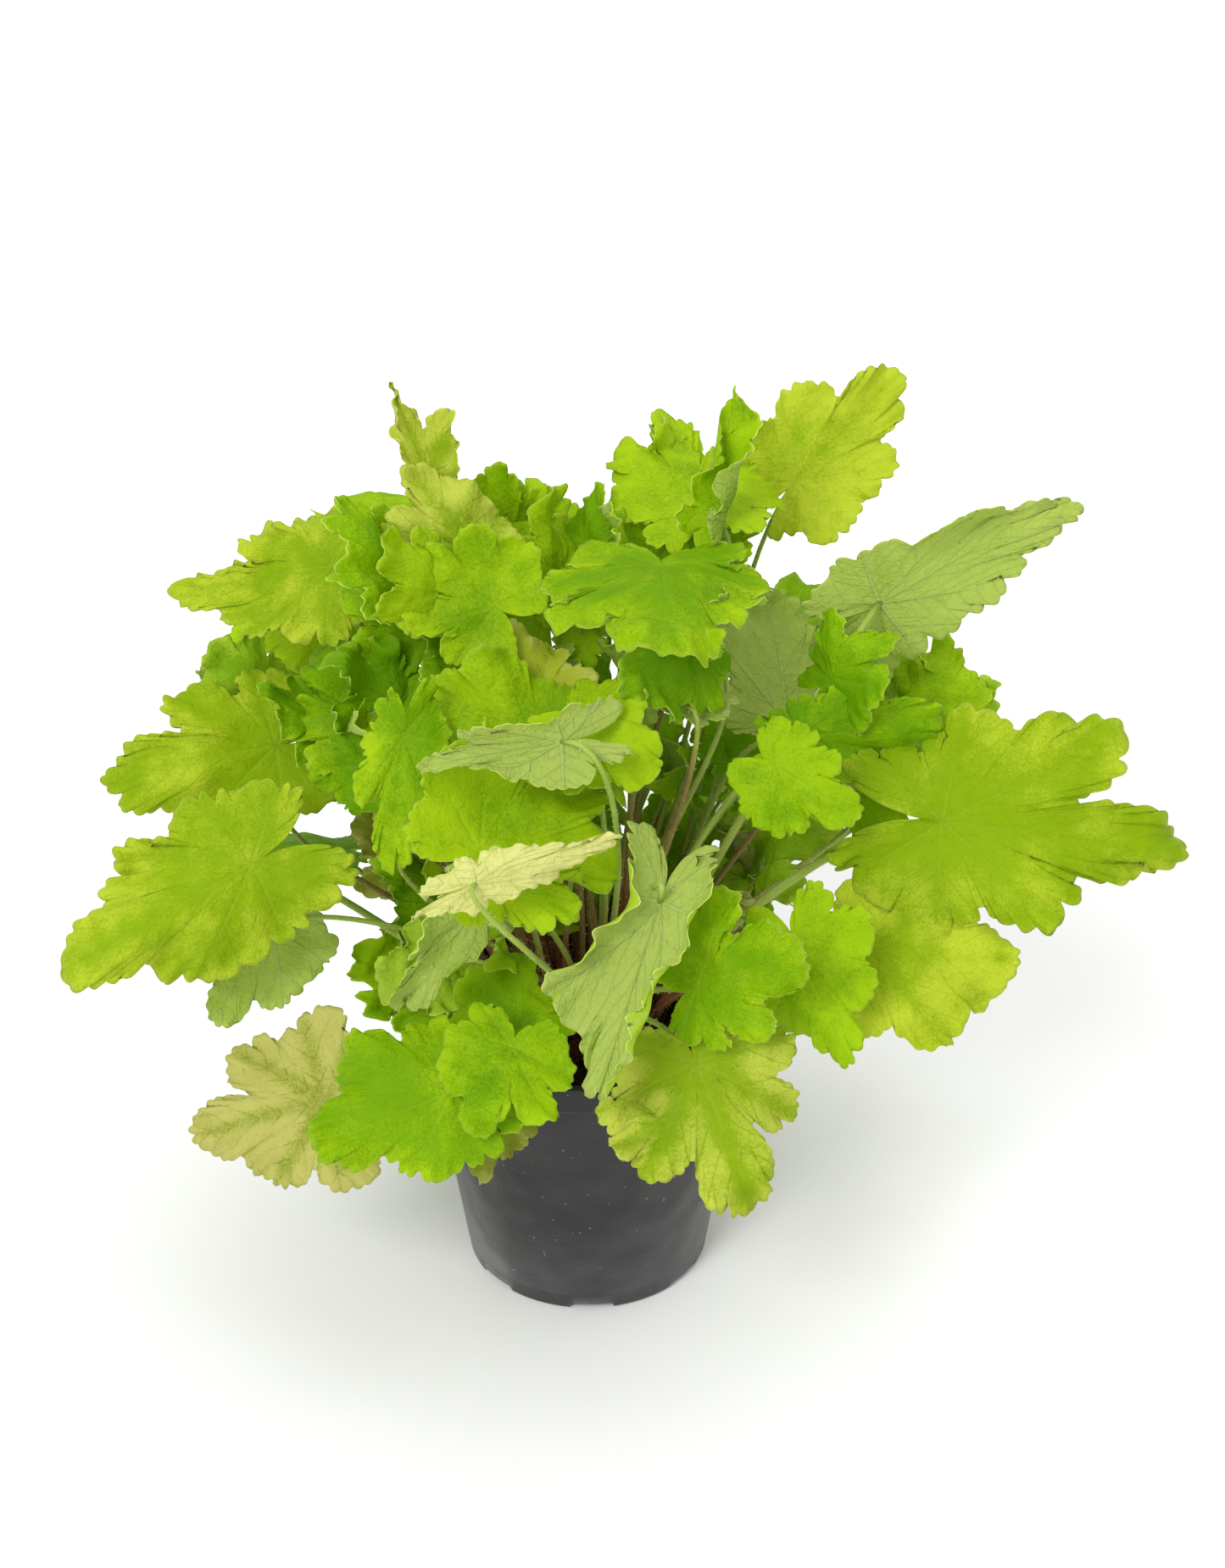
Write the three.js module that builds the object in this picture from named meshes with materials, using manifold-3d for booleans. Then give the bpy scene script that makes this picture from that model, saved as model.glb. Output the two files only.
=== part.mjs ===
// Heuchera (coral bells) growing in a round nursery pot.
//
// Millimetres, +Z up. The origin is the middle of the pot's underside, on the surface it stands on, and -Y
// is the plant's best side. The pot holds the soil, the soil holds the woody crown, and every leaf is one
// piece, a petiole that widens into its blade, with its foot in a hole in the crown.

import * as THREE from 'three';
import { mergeVertices } from 'three/addons/utils/BufferGeometryUtils.js';
import Module from 'manifold-3d';

const wasm = await Module();
wasm.setup();

// --- Driving dimensions ----------------------------------------------------------------------------------

const CLEARANCE = 0.3;
const MERGE_DISTANCE = 1e-4;

const POT_HEIGHT = 116;
const POT_TOP_RADIUS = 65;
const POT_FOOT_RADIUS = 48;
const POT_WALL = 1.6;
const POT_FLOOR = 3.2;
const POT_CHAMFER = 1.7;
const POT_SEGMENTS = 36;
const RIM_HEIGHT = 11;
const RIM_STEP = 1.3;
const RIM_WALL = 2.2;
const RIM_ROUND = 0.8;
const NOTCH_COUNT = 7;
const NOTCH_WIDTH = 17;
const NOTCH_HEIGHT = 3;
const NOTCH_DEPTH = 5;
const NOTCH_TURN = -88;
const POT_FINISH = { color: 0x3b3d3f, roughness: 0.6 };

const SOIL_DROP = 12.5;
const SOIL_RELIEF = 1.4;
const SOIL_SHOULDER = 4;
const SOIL_RINGS = [50, 40, 31];
const SOIL_GAP = 3 * CLEARANCE;
const SOIL_WAVES = [3.2, 3.7];
const SOIL_PHASE = 1.1;
const SOIL_FINISH = { color: 0x1d1712, roughness: 0.95 };

const CROWN_TOP = 118;
const CROWN_RADIUS = 28;
const CROWN_DROP = 0.01;
const CROWN_DEPTH = 13;
const CROWN_FOOT = 0.8;
const CROWN_EDGE = 0.15;
const CROWN_DOME = [1, 0.85, 0.5];
const FOOT_DEPTH = 6.5;
const STUB_COUNT = 5;
const STUB_RADII = [1.2, 2.1];
const STUB_LENGTH = 9;
const STUB_LEAN = 22;
const STUB_PLACE = 0.86;
const STUB_SEED = 41;
const STUB_SCATTER = 0.6;
const STUB_LENGTHENING = 0.5;
const CROWN_SEGMENTS = 20;
const CROWN_FINISH = { color: 0x5a3524, roughness: 0.85 };

const BLADE_THICKNESS = 0.7;
const BLADE_SKEW = 0.16;
const LOBE_VARIATION = 0.24;
const NOTCH_VARIATION = 0.44;
const LOBE_SWERVE = 16;
const CUP_WIDTH = 0.8;
const RUFFLE_WAVES = 3;
const RUFFLE_BEHIND = 0.3;
const TIP_NARROWING = 2.2;
const TIP_HOLLOW = 1.5;
const MIDDLE_RING = 0.5;
const PETIOLE_FOOT_RADIUS = 1.8;
const PETIOLE_TAPER = 0.7;
const PETIOLE_SIDES = 5;
const PETIOLE_STEPS = 5;
const PETIOLE_LEAN = 0.02;
const PETIOLE_FULL_LENGTH = 75;
const PETIOLE_SIZES = [0.75, 1.15];
const ARRIVAL_LENGTH = 0.28;
const LEAF_ROUGHNESS = 0.6;

// A blade's outline round its petiole: seven lobes, as degrees from the tip and reach in blade lengths, the
// notches between them, open for part of the way to the lobes' middles, and the sinus behind the petiole.
const LOBES = [[0, 1], [45, 0.8], [87, 0.65], [128, 0.5]];
const NOTCHES = [[23, 0.68], [66, 0.57], [108, 0.46], [158, 0.32]];
const LOBE_COUNT = 2 * LOBES.length - 1;
const NOTCH_OPEN = 0.9;
const SINUS_REACH = 0.04;
const SINUS_GAP = 2;
// Where the outline's corners lie on each lobe, as fractions of the way from one notch to the next.
const LARGE_CORNERS = [[0.5, 0.7, 0.9], [0.1, 0.3, 0.5, 0.7, 0.9], [0.12, 0.38, 0.65, 0.9], [0.3, 0.7]];
const SMALL_CORNERS = [[0.5, 0.85], [0.15, 0.5, 0.85], [0.25, 0.75], [0.5]];
const LARGE_BLADE = 46;
const SEED_STEP = 11;

const GREENS = {
  lime: 0x9fc52b,
  bright: 0x7fb41c,
  mid: 0x5f9a1a,
  yellow: 0xb4c93c,
  pale: 0xa9bd7c,
  cream: 0xd8d98c,
  olive: 0xa3a552,
};

// The leaves, in millimetres and degrees. foot is where the petiole stands on the crown, base where it meets
// the blade and tip the end of the middle lobe. roll turns the blade about its length, spread is its width
// over its length, curl how far it bends back along its length, cup how far its sides bend down, ruffle its
// wave and point how much further the middle lobe reaches. The petiole sets off upwards for the share rise
// of its length, sways aside and meets the blade at arrive.
const LEAVES = [
  // Right, from the top down.
  { foot: [16, 16.5], base: [80, 80, 297], tip: [120, 95, 336], roll: -53, spread: 0.75, curl: 10,
    cup: -37, ruffle: 0.03, rise: 0.18, sway: 22, arrive: 35, tone: 'lime' },
  { foot: [7, 9], base: [40, 42, 302], tip: [32, 85, 321], roll: 7, spread: 1.05, curl: 20, cup: 19,
    ruffle: 0.06, rise: 0.74, sway: -3, tone: 'bright' },
  { foot: [11.5, 7], base: [49, 25, 303], tip: [54, 37, 341], roll: 18, spread: 0.55, curl: 10, cup: -130,
    ruffle: 0.08, point: 0.2, rise: 0.15, sway: -13, tone: 'mid' },
  { foot: [19.5, 2], base: [107, 14, 275], tip: [177, 13, 314], roll: 89, spread: 0.38, curl: 20, cup: 30,
    ruffle: 0.04, rise: 0.39, sway: 5, arrive: 47, tone: 'pale' },
  { foot: [14.5, 1], base: [75, 5, 231], tip: [111, 35, 259], roll: 129, spread: 1.25, curl: 30, cup: 30,
    ruffle: 0.03, rise: 0.34, sway: -28, arrive: 37, tone: 'pale' },
  { foot: [6.5, -8.5], base: [34, -31, 255], tip: [37, -16, 265], roll: 142, spread: 1.7, curl: 40,
    cup: 49, ruffle: 0.03, rise: 0.34, sway: -12, arrive: 51, tone: 'pale' },
  { foot: [24.5, 2.5], base: [125, 12, 218], tip: [136, 45, 244], roll: -10, spread: 0.85, curl: 30,
    ruffle: 0.08, tone: 'bright' },
  { foot: [15.5, -4], base: [78, -20, 238], tip: [128, -15, 242], roll: -69, spread: 0.55, curl: 30,
    cup: 10, ruffle: 0.06, rise: 0.64, sway: -43, arrive: 36, tone: 'mid' },
  { foot: [11.5, -8], base: [67, -40, 236], tip: [95, -60, 226], roll: -53, curl: 20, ruffle: 0.04,
    tone: 'mid' },
  { foot: [23.5, -6.5], base: [128, -35, 211], tip: [217, -50, 206], roll: -62, spread: 0.66, cup: 25,
    ruffle: 0.06, point: 0.03, tone: 'lime' },
  { foot: [19.5, -12.5], base: [100, -57, 171], tip: [152, -64, 170], roll: -48, spread: 0.82, cup: -33,
    ruffle: 0.06, rise: 0.33, sway: -23, arrive: 80, tone: 'lime' },
  { foot: [16.5, -9], base: [74, -75, 184], tip: [92, -95, 148], roll: -45, cup: 21, ruffle: 0.06,
    rise: 0.8, sway: 41, arrive: 58, tone: 'mid' },
  { foot: [9.5, -18], base: [39, -94, 178], tip: [73, -107, 202], roll: -59, spread: 0.85,
    tone: 'bright' },
  { foot: [6.5, -22], base: [39, -100, 151], tip: [58, -128, 110], roll: -27, spread: 1, curl: 35,
    tone: 'yellow' },

  // Middle, from the front leaf that shows its underside up to the top.
  { foot: [4.5, -17.5], base: [26, -95, 213], tip: [4, -128, 152], roll: -154, spread: 0.48, curl: -15,
    cup: 80, ruffle: 0.06, point: -0.1, rise: 0.34, sway: 11, arrive: 58, tone: 'pale' },
  { foot: [7.5, -13.5], base: [36, -65, 192], tip: [61, -58, 193], roll: 122, spread: 0.5, curl: 20,
    cup: 40, tone: 'olive' },
  { foot: [-9.5, -12.5], base: [-35, -81, 225], tip: [4, -43, 235], roll: -47, spread: 1.05, curl: 20,
    cup: -28, ruffle: 0.08, rise: 0.8, sway: 19, arrive: 60, tone: 'bright' },
  { foot: [-2, -10], base: [-7, -73, 262], tip: [-56, -84, 258], roll: -115, spread: 0.42, cup: 40,
    rise: 0.29, sway: -21, arrive: 54, tone: 'pale' },
  { foot: [-6.5, -8], base: [-15, -35, 241], tip: [-58, -17, 254], roll: 61, spread: 0.8, curl: 20,
    tone: 'bright' },
  { foot: [3, -11.5], base: [-2, -48, 258], tip: [25, -74, 252], roll: -37, spread: 1, curl: 40, cup: 6,
    ruffle: 0.08, rise: 0.42, sway: -3, arrive: 65, tone: 'bright' },
  { foot: [-2, -5], base: [-15, -17, 252], tip: [-32, 5, 273], roll: 43, spread: 0.8, curl: 20, cup: 40,
    ruffle: 0.07, rise: 0.25, sway: -5, arrive: 74, tone: 'cream' },
  { foot: [-8, -3], base: [-32, -3, 281], tip: [-62, 8, 297], roll: 62, spread: 1.15, cup: -16,
    ruffle: 0.04, rise: 0.57, sway: 29, arrive: 80, tone: 'bright' },
  { foot: [-3.5, 7], base: [-14, 35, 262], tip: [-23, 57, 309], roll: 10, spread: 0.8, curl: 20, cup: 26,
    rise: 0.51, sway: 14, arrive: 51, tone: 'mid' },
  { foot: [6, 4], base: [27, -5, 297], tip: [31, -62, 282], roll: -5, spread: 1.05, curl: 45, cup: 23,
    ruffle: 0.03, tone: 'bright' },
  { foot: [1, 5], base: [3, 18, 276], tip: [-27, 24, 275], roll: 67, spread: 0.55, curl: 20, cup: -19,
    ruffle: 0.07, rise: 0.63, sway: -20, arrive: 37, tone: 'mid' },
  { foot: [8.5, -4], base: [37, -26, 275], tip: [12, -58, 280], roll: 56, spread: 0.8, curl: 30, cup: 36,
    ruffle: 0.03, rise: 0.8, sway: 5, arrive: 80, tone: 'mid' },

  // Left, from the top down.
  { foot: [-17.5, 6], base: [-94, 38, 279], tip: [-156, 45, 268], roll: 38, spread: 0.75, curl: 20,
    cup: 24, ruffle: 0.12, rise: 0.29, sway: -28, arrive: 80, tone: 'lime' },
  { foot: [-16, 10.5], base: [-93, 73, 248], tip: [-139, 95, 225], roll: 76, spread: 0.6, curl: 20,
    cup: 33, ruffle: 0.09, rise: 0.65, sway: -9, arrive: 56, tone: 'bright' },
  { foot: [-15.5, 1], base: [-73, -2, 234], tip: [-101, 29, 250], roll: 38, curl: 20, cup: 10,
    ruffle: 0.04, rise: 0.15, sway: -9, arrive: 49, tone: 'bright' },
  { foot: [-22.5, 5], base: [-117, 35, 223], tip: [-149, 36, 238], roll: -120, spread: 0.38, curl: 20,
    tone: 'pale' },
  { foot: [-22, 0], base: [-115, 6, 221], tip: [-179, -11, 214], roll: 50, spread: 0.7, curl: 30,
    ruffle: 0.07, tone: 'lime' },
  { foot: [-23, -8.5], base: [-119, -42, 198], tip: [-185, -62, 166], roll: 62, spread: 0.72, cup: 30,
    ruffle: 0.06, rise: 0.15, sway: -17, arrive: 64, tone: 'lime' },
  { foot: [-19.5, -4.5], base: [-117, -25, 161], tip: [-138, -35, 127], roll: -120, curl: 15,
    tone: 'pale' },
  { foot: [-14.5, -4], base: [-74, -20, 226], tip: [-99, -11, 220], roll: 64, spread: 1, curl: 20, cup: 2,
    ruffle: 0.09, tone: 'mid' },
  { foot: [-12.5, -8.5], base: [-63, -40, 248], tip: [-69, -60, 204], roll: 20, spread: 0.5, curl: 35,
    ruffle: 0.1, tone: 'bright' },

  // Low in front, over the rim.
  { foot: [-12.5, -20.5], base: [-45, -106, 144], tip: [-93, -121, 130], roll: 50, spread: 0.85,
    tone: 'bright' },
  { foot: [0, -15.5], base: [-25, -100, 158], tip: [-37, -125, 139], roll: 21, spread: 1.1, rise: 0.29,
    sway: -10, arrive: 80, tone: 'mid' },
  { foot: [-5, -14], base: [-23, -78, 152], tip: [-24, -51, 164], roll: 1, spread: 1.2, cup: 3,
    ruffle: 0.06, tone: 'mid' },
  { foot: [-17.5, -11], base: [-95, -62, 109], tip: [-147, -68, 97], roll: 55, spread: 0.95, curl: 15,
    cup: 15, tone: 'olive' },
  { foot: [-4, -19], base: [-30, -83, 124], tip: [-41, -89, 93], roll: 35, spread: 0.75, tone: 'olive' },
  { foot: [-8.5, -17.5], base: [-35, -76, 202], tip: [-63, -98, 171], roll: -123, spread: 0.5, curl: 20,
    cup: 67, ruffle: 0.03, rise: 0.65, sway: 3, arrive: 35, tone: 'pale' },
  { foot: [-7.5, -22.5], base: [-35, -113, 230], tip: [14, -100, 242], roll: 116, spread: 0.26, curl: 50,
    rise: 0.15, sway: -45, tone: 'cream' },

  // High at the back of the left side.
  { foot: [-11.5, 13], base: [-56, 44, 308], tip: [-70, 47, 346], roll: 66, spread: 0.5, curl: -20,
    cup: -142, ruffle: 0.06, point: 0.2, rise: 0.15, sway: -28, arrive: 79, tone: 'yellow' },
  { foot: [-11.5, 8], base: [-42, 22, 293], tip: [-64, 35, 320], roll: 40, spread: 0.9, curl: 20, cup: 23,
    ruffle: 0.03, rise: 0.58, sway: -29, arrive: 54, tone: 'yellow' },
  { foot: [-11, 3], base: [-57, 14, 263], tip: [-89, 23, 278], roll: 45, curl: 20, ruffle: 0.07, rise: 0.8,
    sway: -45, arrive: 51, tone: 'bright' },
  { foot: [6, 14], base: [24, 56, 264], tip: [10, 98, 283], roll: 24, curl: 20, cup: 10, ruffle: 0.03,
    rise: 0.77, sway: 29, arrive: 67, tone: 'mid' },

  // Back, in three tiers.
  { foot: [-10, 18], base: [-58, 89, 165], tip: [-100, 151, 139], roll: -1, spread: 0.95,
    tone: 'bright' },
  { foot: [1.5, 19], base: [2, 100, 160], tip: [8, 172, 128], roll: 5, spread: 0.95, tone: 'lime' },
  { foot: [11.5, 17], base: [58, 95, 152], tip: [100, 153, 130], roll: 14, spread: 0.95, rise: 0.41,
    sway: -7, arrive: 41, tone: 'bright' },
  { foot: [-15, 16.5], base: [-70, 88, 219], tip: [-118, 141, 207], roll: -8, spread: 0.95, rise: 0.43,
    sway: 4, arrive: 46, tone: 'lime' },
  { foot: [-3.5, 18.5], base: [-13, 99, 233], tip: [-21, 161, 220], roll: 0, spread: 0.95,
    tone: 'bright' },
  { foot: [7.5, 20], base: [48, 101, 215], tip: [78, 161, 200], roll: 8, spread: 0.95, rise: 0.51,
    sway: -10, arrive: 42, tone: 'lime' },
  { foot: [-21, 9.5], base: [-100, 52, 152], tip: [-156, 89, 132], roll: -10, spread: 0.95, tone: 'mid' },
  { foot: [-7, 12.5], base: [-62, 80, 271], tip: [-92, 148, 265], roll: -10, cup: 24, ruffle: 0.09,
    rise: 0.8, sway: 4, arrive: 36, tone: 'bright' },
  { foot: [1, 13.5], base: [-3, 76, 252], tip: [3, 144, 255], roll: 12, cup: 21, ruffle: 0.03, rise: 0.3,
    sway: 11, arrive: 35, tone: 'lime' },
  { foot: [11, 12], base: [66, 81, 226], tip: [100, 139, 216], roll: -1, spread: 0.85, cup: 30,
    ruffle: 0.06, rise: 0.67, sway: 37, arrive: 35, tone: 'bright' },
  { foot: [17.5, 11.5], base: [90, 67, 196], tip: [140, 117, 178], roll: 8, cup: 18, ruffle: 0.03,
    rise: 0.54, sway: 4, arrive: 47, tone: 'mid' },
];

// --- Shared geometry -------------------------------------------------------------------------------------

const { degToRad, radToDeg } = THREE.MathUtils;

// Numbers from 0 to 1, the same ones for the same seed.
function seeded(seed) {
  let state = seed;
  const next = () => {
    state = (state * 1664525 + 1013904223) % 4294967296;
    return state / 4294967296;
  };
  for (let i = 0; i < 3; i++) next();
  return next;
}

function geometryOf(points, triangles) {
  const geometry = new THREE.BufferGeometry();
  const numbers = points.flatMap((p) => p.toArray());
  geometry.setAttribute('position', new THREE.Float32BufferAttribute(numbers, 3));
  geometry.setIndex(triangles.flat());
  return geometry;
}

function solidOf(geometry) {
  const bare = geometry.clone();
  bare.deleteAttribute('normal');
  bare.deleteAttribute('uv');
  const merged = mergeVertices(bare, MERGE_DISTANCE);
  const vertProperties = new Float32Array(merged.attributes.position.array);
  const triVerts = new Uint32Array(merged.index.array);
  return new wasm.Manifold(new wasm.Mesh({ numProp: 3, vertProperties, triVerts }));
}

function geometryFrom(solid) {
  const mesh = solid.getMesh();
  const geometry = new THREE.BufferGeometry();
  geometry.setAttribute('position', new THREE.BufferAttribute(Float32Array.from(mesh.vertProperties), 3));
  geometry.setIndex(new THREE.BufferAttribute(Uint32Array.from(mesh.triVerts), 1));
  return geometry;
}

// The largest body of a solid, without the scraps that a cut left loose.
function mainBody(solid) {
  return solid.decompose().reduce((best, body) => (body.volume() > best.volume() ? body : best));
}

// A solid of revolution round +Z from (radius, height) pairs that start and end on the axis.
function revolved(profile, segments) {
  const geometry = new THREE.LatheGeometry(profile.map(([r, z]) => new THREE.Vector2(r, z)), segments);
  geometry.rotateX(Math.PI / 2);
  return geometry;
}

function piece(name, geometry, finish) {
  geometry.computeVertexNormals();
  const mesh = new THREE.Mesh(geometry, new THREE.MeshStandardMaterial({ ...finish, metalness: 0 }));
  mesh.name = name;
  return mesh;
}

// --- Leaves ----------------------------------------------------------------------------------------------

// The point reached from an origin by steps that are each an axis and how far to go along it.
function along(origin, ...steps) {
  return steps.reduce((point, [axis, by]) => point.addScaledVector(axis, by), origin.clone());
}

// Works out a leaf's frame: u along the chord, t and n the blade's direction and upper side at the petiole.
function leafFrom(row, index) {
  const { roll, spread = 0.9, curl = 25, cup = 20, ruffle = 0.05, point = 0 } = row;
  const { rise = 0.45, sway = 0, arrive = 45 } = row;
  const base = new THREE.Vector3(...row.base);
  const chord = new THREE.Vector3(...row.tip).sub(base);
  const u = chord.clone().normalize();
  const up = along(new THREE.Vector3(0, 0, 1), [u, -u.z]).normalize();
  const left = up.clone().cross(u);
  const turn = degToRad(roll);
  const w = along(new THREE.Vector3(), [up, Math.cos(turn)], [left, Math.sin(turn)]);
  const v = along(new THREE.Vector3(), [left, Math.cos(turn)], [up, -Math.sin(turn)]);
  const half = degToRad(curl) / 2;
  const length = (chord.length() * half) / Math.sin(half);
  const random = seeded(SEED_STEP * (index + 1));
  const phase = random() * 2 * Math.PI;
  const skew = (random() - 0.5) * BLADE_SKEW;
  return {
    foot: row.foot, base, length, spread, ruffle, point, rise, sway, phase, skew, v,
    arrival: degToRad(arrive),
    lobeSize: Array.from({ length: LOBE_COUNT }, () => 1 + (random() - 0.5) * LOBE_VARIATION),
    notchSize: Array.from({ length: LOBE_COUNT + 1 }, () => 1 + (random() - 0.5) * NOTCH_VARIATION),
    swerve: [1, 2].map(() => (random() - 0.5) * LOBE_SWERVE),
    t: along(new THREE.Vector3(), [u, Math.cos(half)], [w, Math.sin(half)]),
    n: along(new THREE.Vector3(), [w, Math.cos(half)], [u, -Math.sin(half)]),
    bend: (2 * half) / length,
    fold: degToRad(cup) / (length * CUP_WIDTH * spread),
  };
}

// How far the outline reaches, in blade lengths, theta degrees from the tip.
function reach(theta, leaf) {
  const turn = degToRad(theta);
  const swerved = theta + leaf.swerve[0] * Math.sin(turn) + leaf.swerve[1] * Math.sin(2 * turn);
  const angle = Math.abs(swerved);
  const notchReach = (i) => NOTCHES[i][1] * leaf.notchSize[swerved > 0 ? i : LOBE_COUNT - i];
  let start = -NOTCHES[0][0];
  for (const [i, [end]] of NOTCHES.entries()) {
    if (angle <= end) {
      const [middle, size] = LOBES[i];
      const lobe = i === 0 ? size : size * leaf.lobeSize[swerved > 0 ? i : LOBE_COUNT - i];
      const outer = angle >= middle;
      const s = outer ? (angle - middle) / (end - middle) : (middle - angle) / (middle - start);
      const notch = notchReach(outer || i === 0 ? i : i - 1);
      const point = i === 0 ? leaf.point * Math.max(0, 1 - TIP_NARROWING * s) ** TIP_HOLLOW : 0;
      return notch + (lobe - notch) * Math.sqrt(Math.max(0, 1 - (s / NOTCH_OPEN) ** 2)) + point;
    }
    start = end;
  }
  const s = (angle - start) / (180 - start);
  const last = notchReach(NOTCHES.length - 1);
  return last + (SINUS_REACH + SINUS_GAP / leaf.length - last) * s;
}

// A point of the blade: theta degrees from the tip, rho of the way out, lifted off the middle surface. The
// flat outline is ruffled, curled about its length and then bent along it.
function bladePoint(leaf, theta, rho, lift) {
  const angle = degToRad(theta);
  const r = reach(theta, leaf) * rho * leaf.length * (1 + leaf.skew * Math.sin(angle));
  const x = r * Math.cos(angle);
  const y = r * Math.sin(angle) * leaf.spread;
  const fade = RUFFLE_BEHIND + (1 - RUFFLE_BEHIND) * Math.cos(angle / 2) ** 2;
  const wave = leaf.ruffle * leaf.length * rho * rho * Math.sin(RUFFLE_WAVES * angle + leaf.phase) * fade;
  const curl = leaf.fold * y;
  const z = (lift + wave) * Math.cos(curl) - (1 - Math.cos(curl)) / leaf.fold;
  const side = (lift + wave) * Math.sin(curl) + Math.sin(curl) / leaf.fold;
  const bend = leaf.bend * x;
  const ahead = z * Math.sin(bend) + Math.sin(bend) / leaf.bend;
  const above = z * Math.cos(bend) - (1 - Math.cos(bend)) / leaf.bend;
  return along(leaf.base, [leaf.t, ahead], [leaf.v, side], [leaf.n, above]);
}

// The outline's ray angles, from the sinus round and back to it.
function outlineRays(corners) {
  const half = corners[0].map((f) => NOTCHES[0][0] * (2 * f - 1));
  for (let i = 1; i < NOTCHES.length; i++) {
    const [start, end] = [NOTCHES[i - 1][0], NOTCHES[i][0]];
    half.push(start, ...corners[i].map((f) => start + (end - start) * f));
  }
  half.push(NOTCHES.at(-1)[0]);
  return [-180, ...half.slice(1).map((a) => -a).reverse(), ...half];
}

const crownHeight = (x, y) => CROWN_TOP - CROWN_DROP * (x * x + y * y);
const sides = [...Array(PETIOLE_SIDES).keys()];
const ringAngles = sides.map((k) => (k / PETIOLE_SIDES) * 2 * Math.PI - Math.PI / 2);

// Rings of points round the petiole, from its cut with the blade's underside down to its foot.
function petioleRings(leaf, clearance) {
  const [x, y] = leaf.foot;
  const foot = new THREE.Vector3(x, y, crownHeight(x, y) - FOOT_DEPTH);
  const out = new THREE.Vector3(x * PETIOLE_LEAN, y * PETIOLE_LEAN, 1).normalize();
  const end = along(leaf.base, [leaf.n, -BLADE_THICKNESS / 2]);
  const { arrival } = leaf;
  const arrive = along(new THREE.Vector3(), [leaf.t, Math.cos(arrival)], [leaf.n, Math.sin(arrival)]);
  const distance = end.distanceTo(foot);
  const across = new THREE.Vector3(end.y - foot.y, foot.x - end.x, 0).normalize();
  const curve = new THREE.CubicBezierCurve3(
    foot,
    along(foot, [out, distance * leaf.rise], [across, leaf.sway]),
    along(end, [arrive, -distance * ARRIVAL_LENGTH]),
    end,
  );
  const size = THREE.MathUtils.clamp(leaf.length / PETIOLE_FULL_LENGTH, ...PETIOLE_SIZES);
  const rings = [];
  let side = leaf.v;
  for (let i = 0; i <= PETIOLE_STEPS; i++) {
    const q = 1 - i / PETIOLE_STEPS;
    const tangent = curve.getTangent(q);
    const radius = (PETIOLE_FOOT_RADIUS - PETIOLE_TAPER * q) * size + clearance;
    side = along(side, [tangent, -side.dot(tangent)]).normalize();
    let other = tangent.clone().cross(side);
    let centre = curve.getPoint(q);
    if (i === 0) {
      other = leaf.t.clone().multiplyScalar(-1 / Math.sin(arrival));
      centre = along(end, [leaf.n, -clearance]);
    }
    const around = (a) => along(centre, [side, Math.cos(a) * radius], [other, Math.sin(a) * radius]);
    rings.push(ringAngles.map((a) => around(a)));
  }
  return rings;
}

// Triangles of a tube through rings that run downwards, with its foot closed. The first ring's points start
// at index first.
function tubeTriangles(ringCount, first) {
  const triangles = [];
  for (let i = 0; i < ringCount - 1; i++) {
    const upper = first + i * PETIOLE_SIDES;
    const lower = upper + PETIOLE_SIDES;
    for (let k = 0; k < PETIOLE_SIDES; k++) {
      const next = (k + 1) % PETIOLE_SIDES;
      triangles.push([lower + k, lower + next, upper + next], [lower + k, upper + next, upper + k]);
    }
  }
  const last = first + (ringCount - 1) * PETIOLE_SIDES;
  for (let k = 1; k < PETIOLE_SIDES - 1; k++) triangles.push([last, last + k + 1, last + k]);
  return triangles;
}

// The whole leaf as one closed skin: both faces of the blade, split alike, their edge, and the petiole,
// whose top ring takes the place of the underside's middle.
function leafGeometry(leaf) {
  const rays = outlineRays(leaf.length > LARGE_BLADE ? LARGE_CORNERS : SMALL_CORNERS);
  const middles = rays.filter((_, i) => i % 2 === 0);
  const count = rays.length + middles.length;
  const points = [];
  for (const lift of [BLADE_THICKNESS / 2, -BLADE_THICKNESS / 2]) {
    points.push(...rays.map((ray) => bladePoint(leaf, ray, 1, lift)));
    points.push(...middles.map((ray) => bladePoint(leaf, ray, MIDDLE_RING, lift)));
  }
  const centre = points.push(bladePoint(leaf, 0, 0, BLADE_THICKNESS / 2)) - 1;
  const first = centre + 1;
  const rings = petioleRings(leaf, 0);
  points.push(...rings.flat());

  const slant = Math.sin(leaf.arrival);
  const ringRays = ringAngles.map((a) => radToDeg(Math.atan2(Math.cos(a), -Math.sin(a) / slant)));
  const apart = (ray, k) => Math.abs(((ray - ringRays[k] + 540) % 360) - 180);
  const nearest = (ray) => sides.reduce((best, k) => (apart(ray, k) < apart(ray, best) ? k : best));

  const triangles = tubeTriangles(rings.length, first);
  for (let j = 0; j < middles.length; j++) {
    const next = (j + 1) % middles.length;
    const [a, b] = [rays.length + j, rays.length + next];
    const [left, between, right] = [2 * j, 2 * j + 1, (2 * j + 2) % rays.length];
    triangles.push([centre, a, b]);
    for (const [p, q, r] of [[a, left, between], [a, between, b], [b, between, right]]) {
      triangles.push([p, q, r], [p + count, r + count, q + count]);
    }
    const [near, far] = [nearest(middles[j]), nearest(middles[next])];
    triangles.push([first + near, b + count, a + count]);
    if (far !== near) triangles.push([first + near, first + far, b + count]);
  }
  for (let i = 0; i < rays.length; i++) {
    const next = (i + 1) % rays.length;
    triangles.push([i, i + count, next], [next, i + count, next + count]);
  }
  return geometryOf(points, triangles);
}

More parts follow.
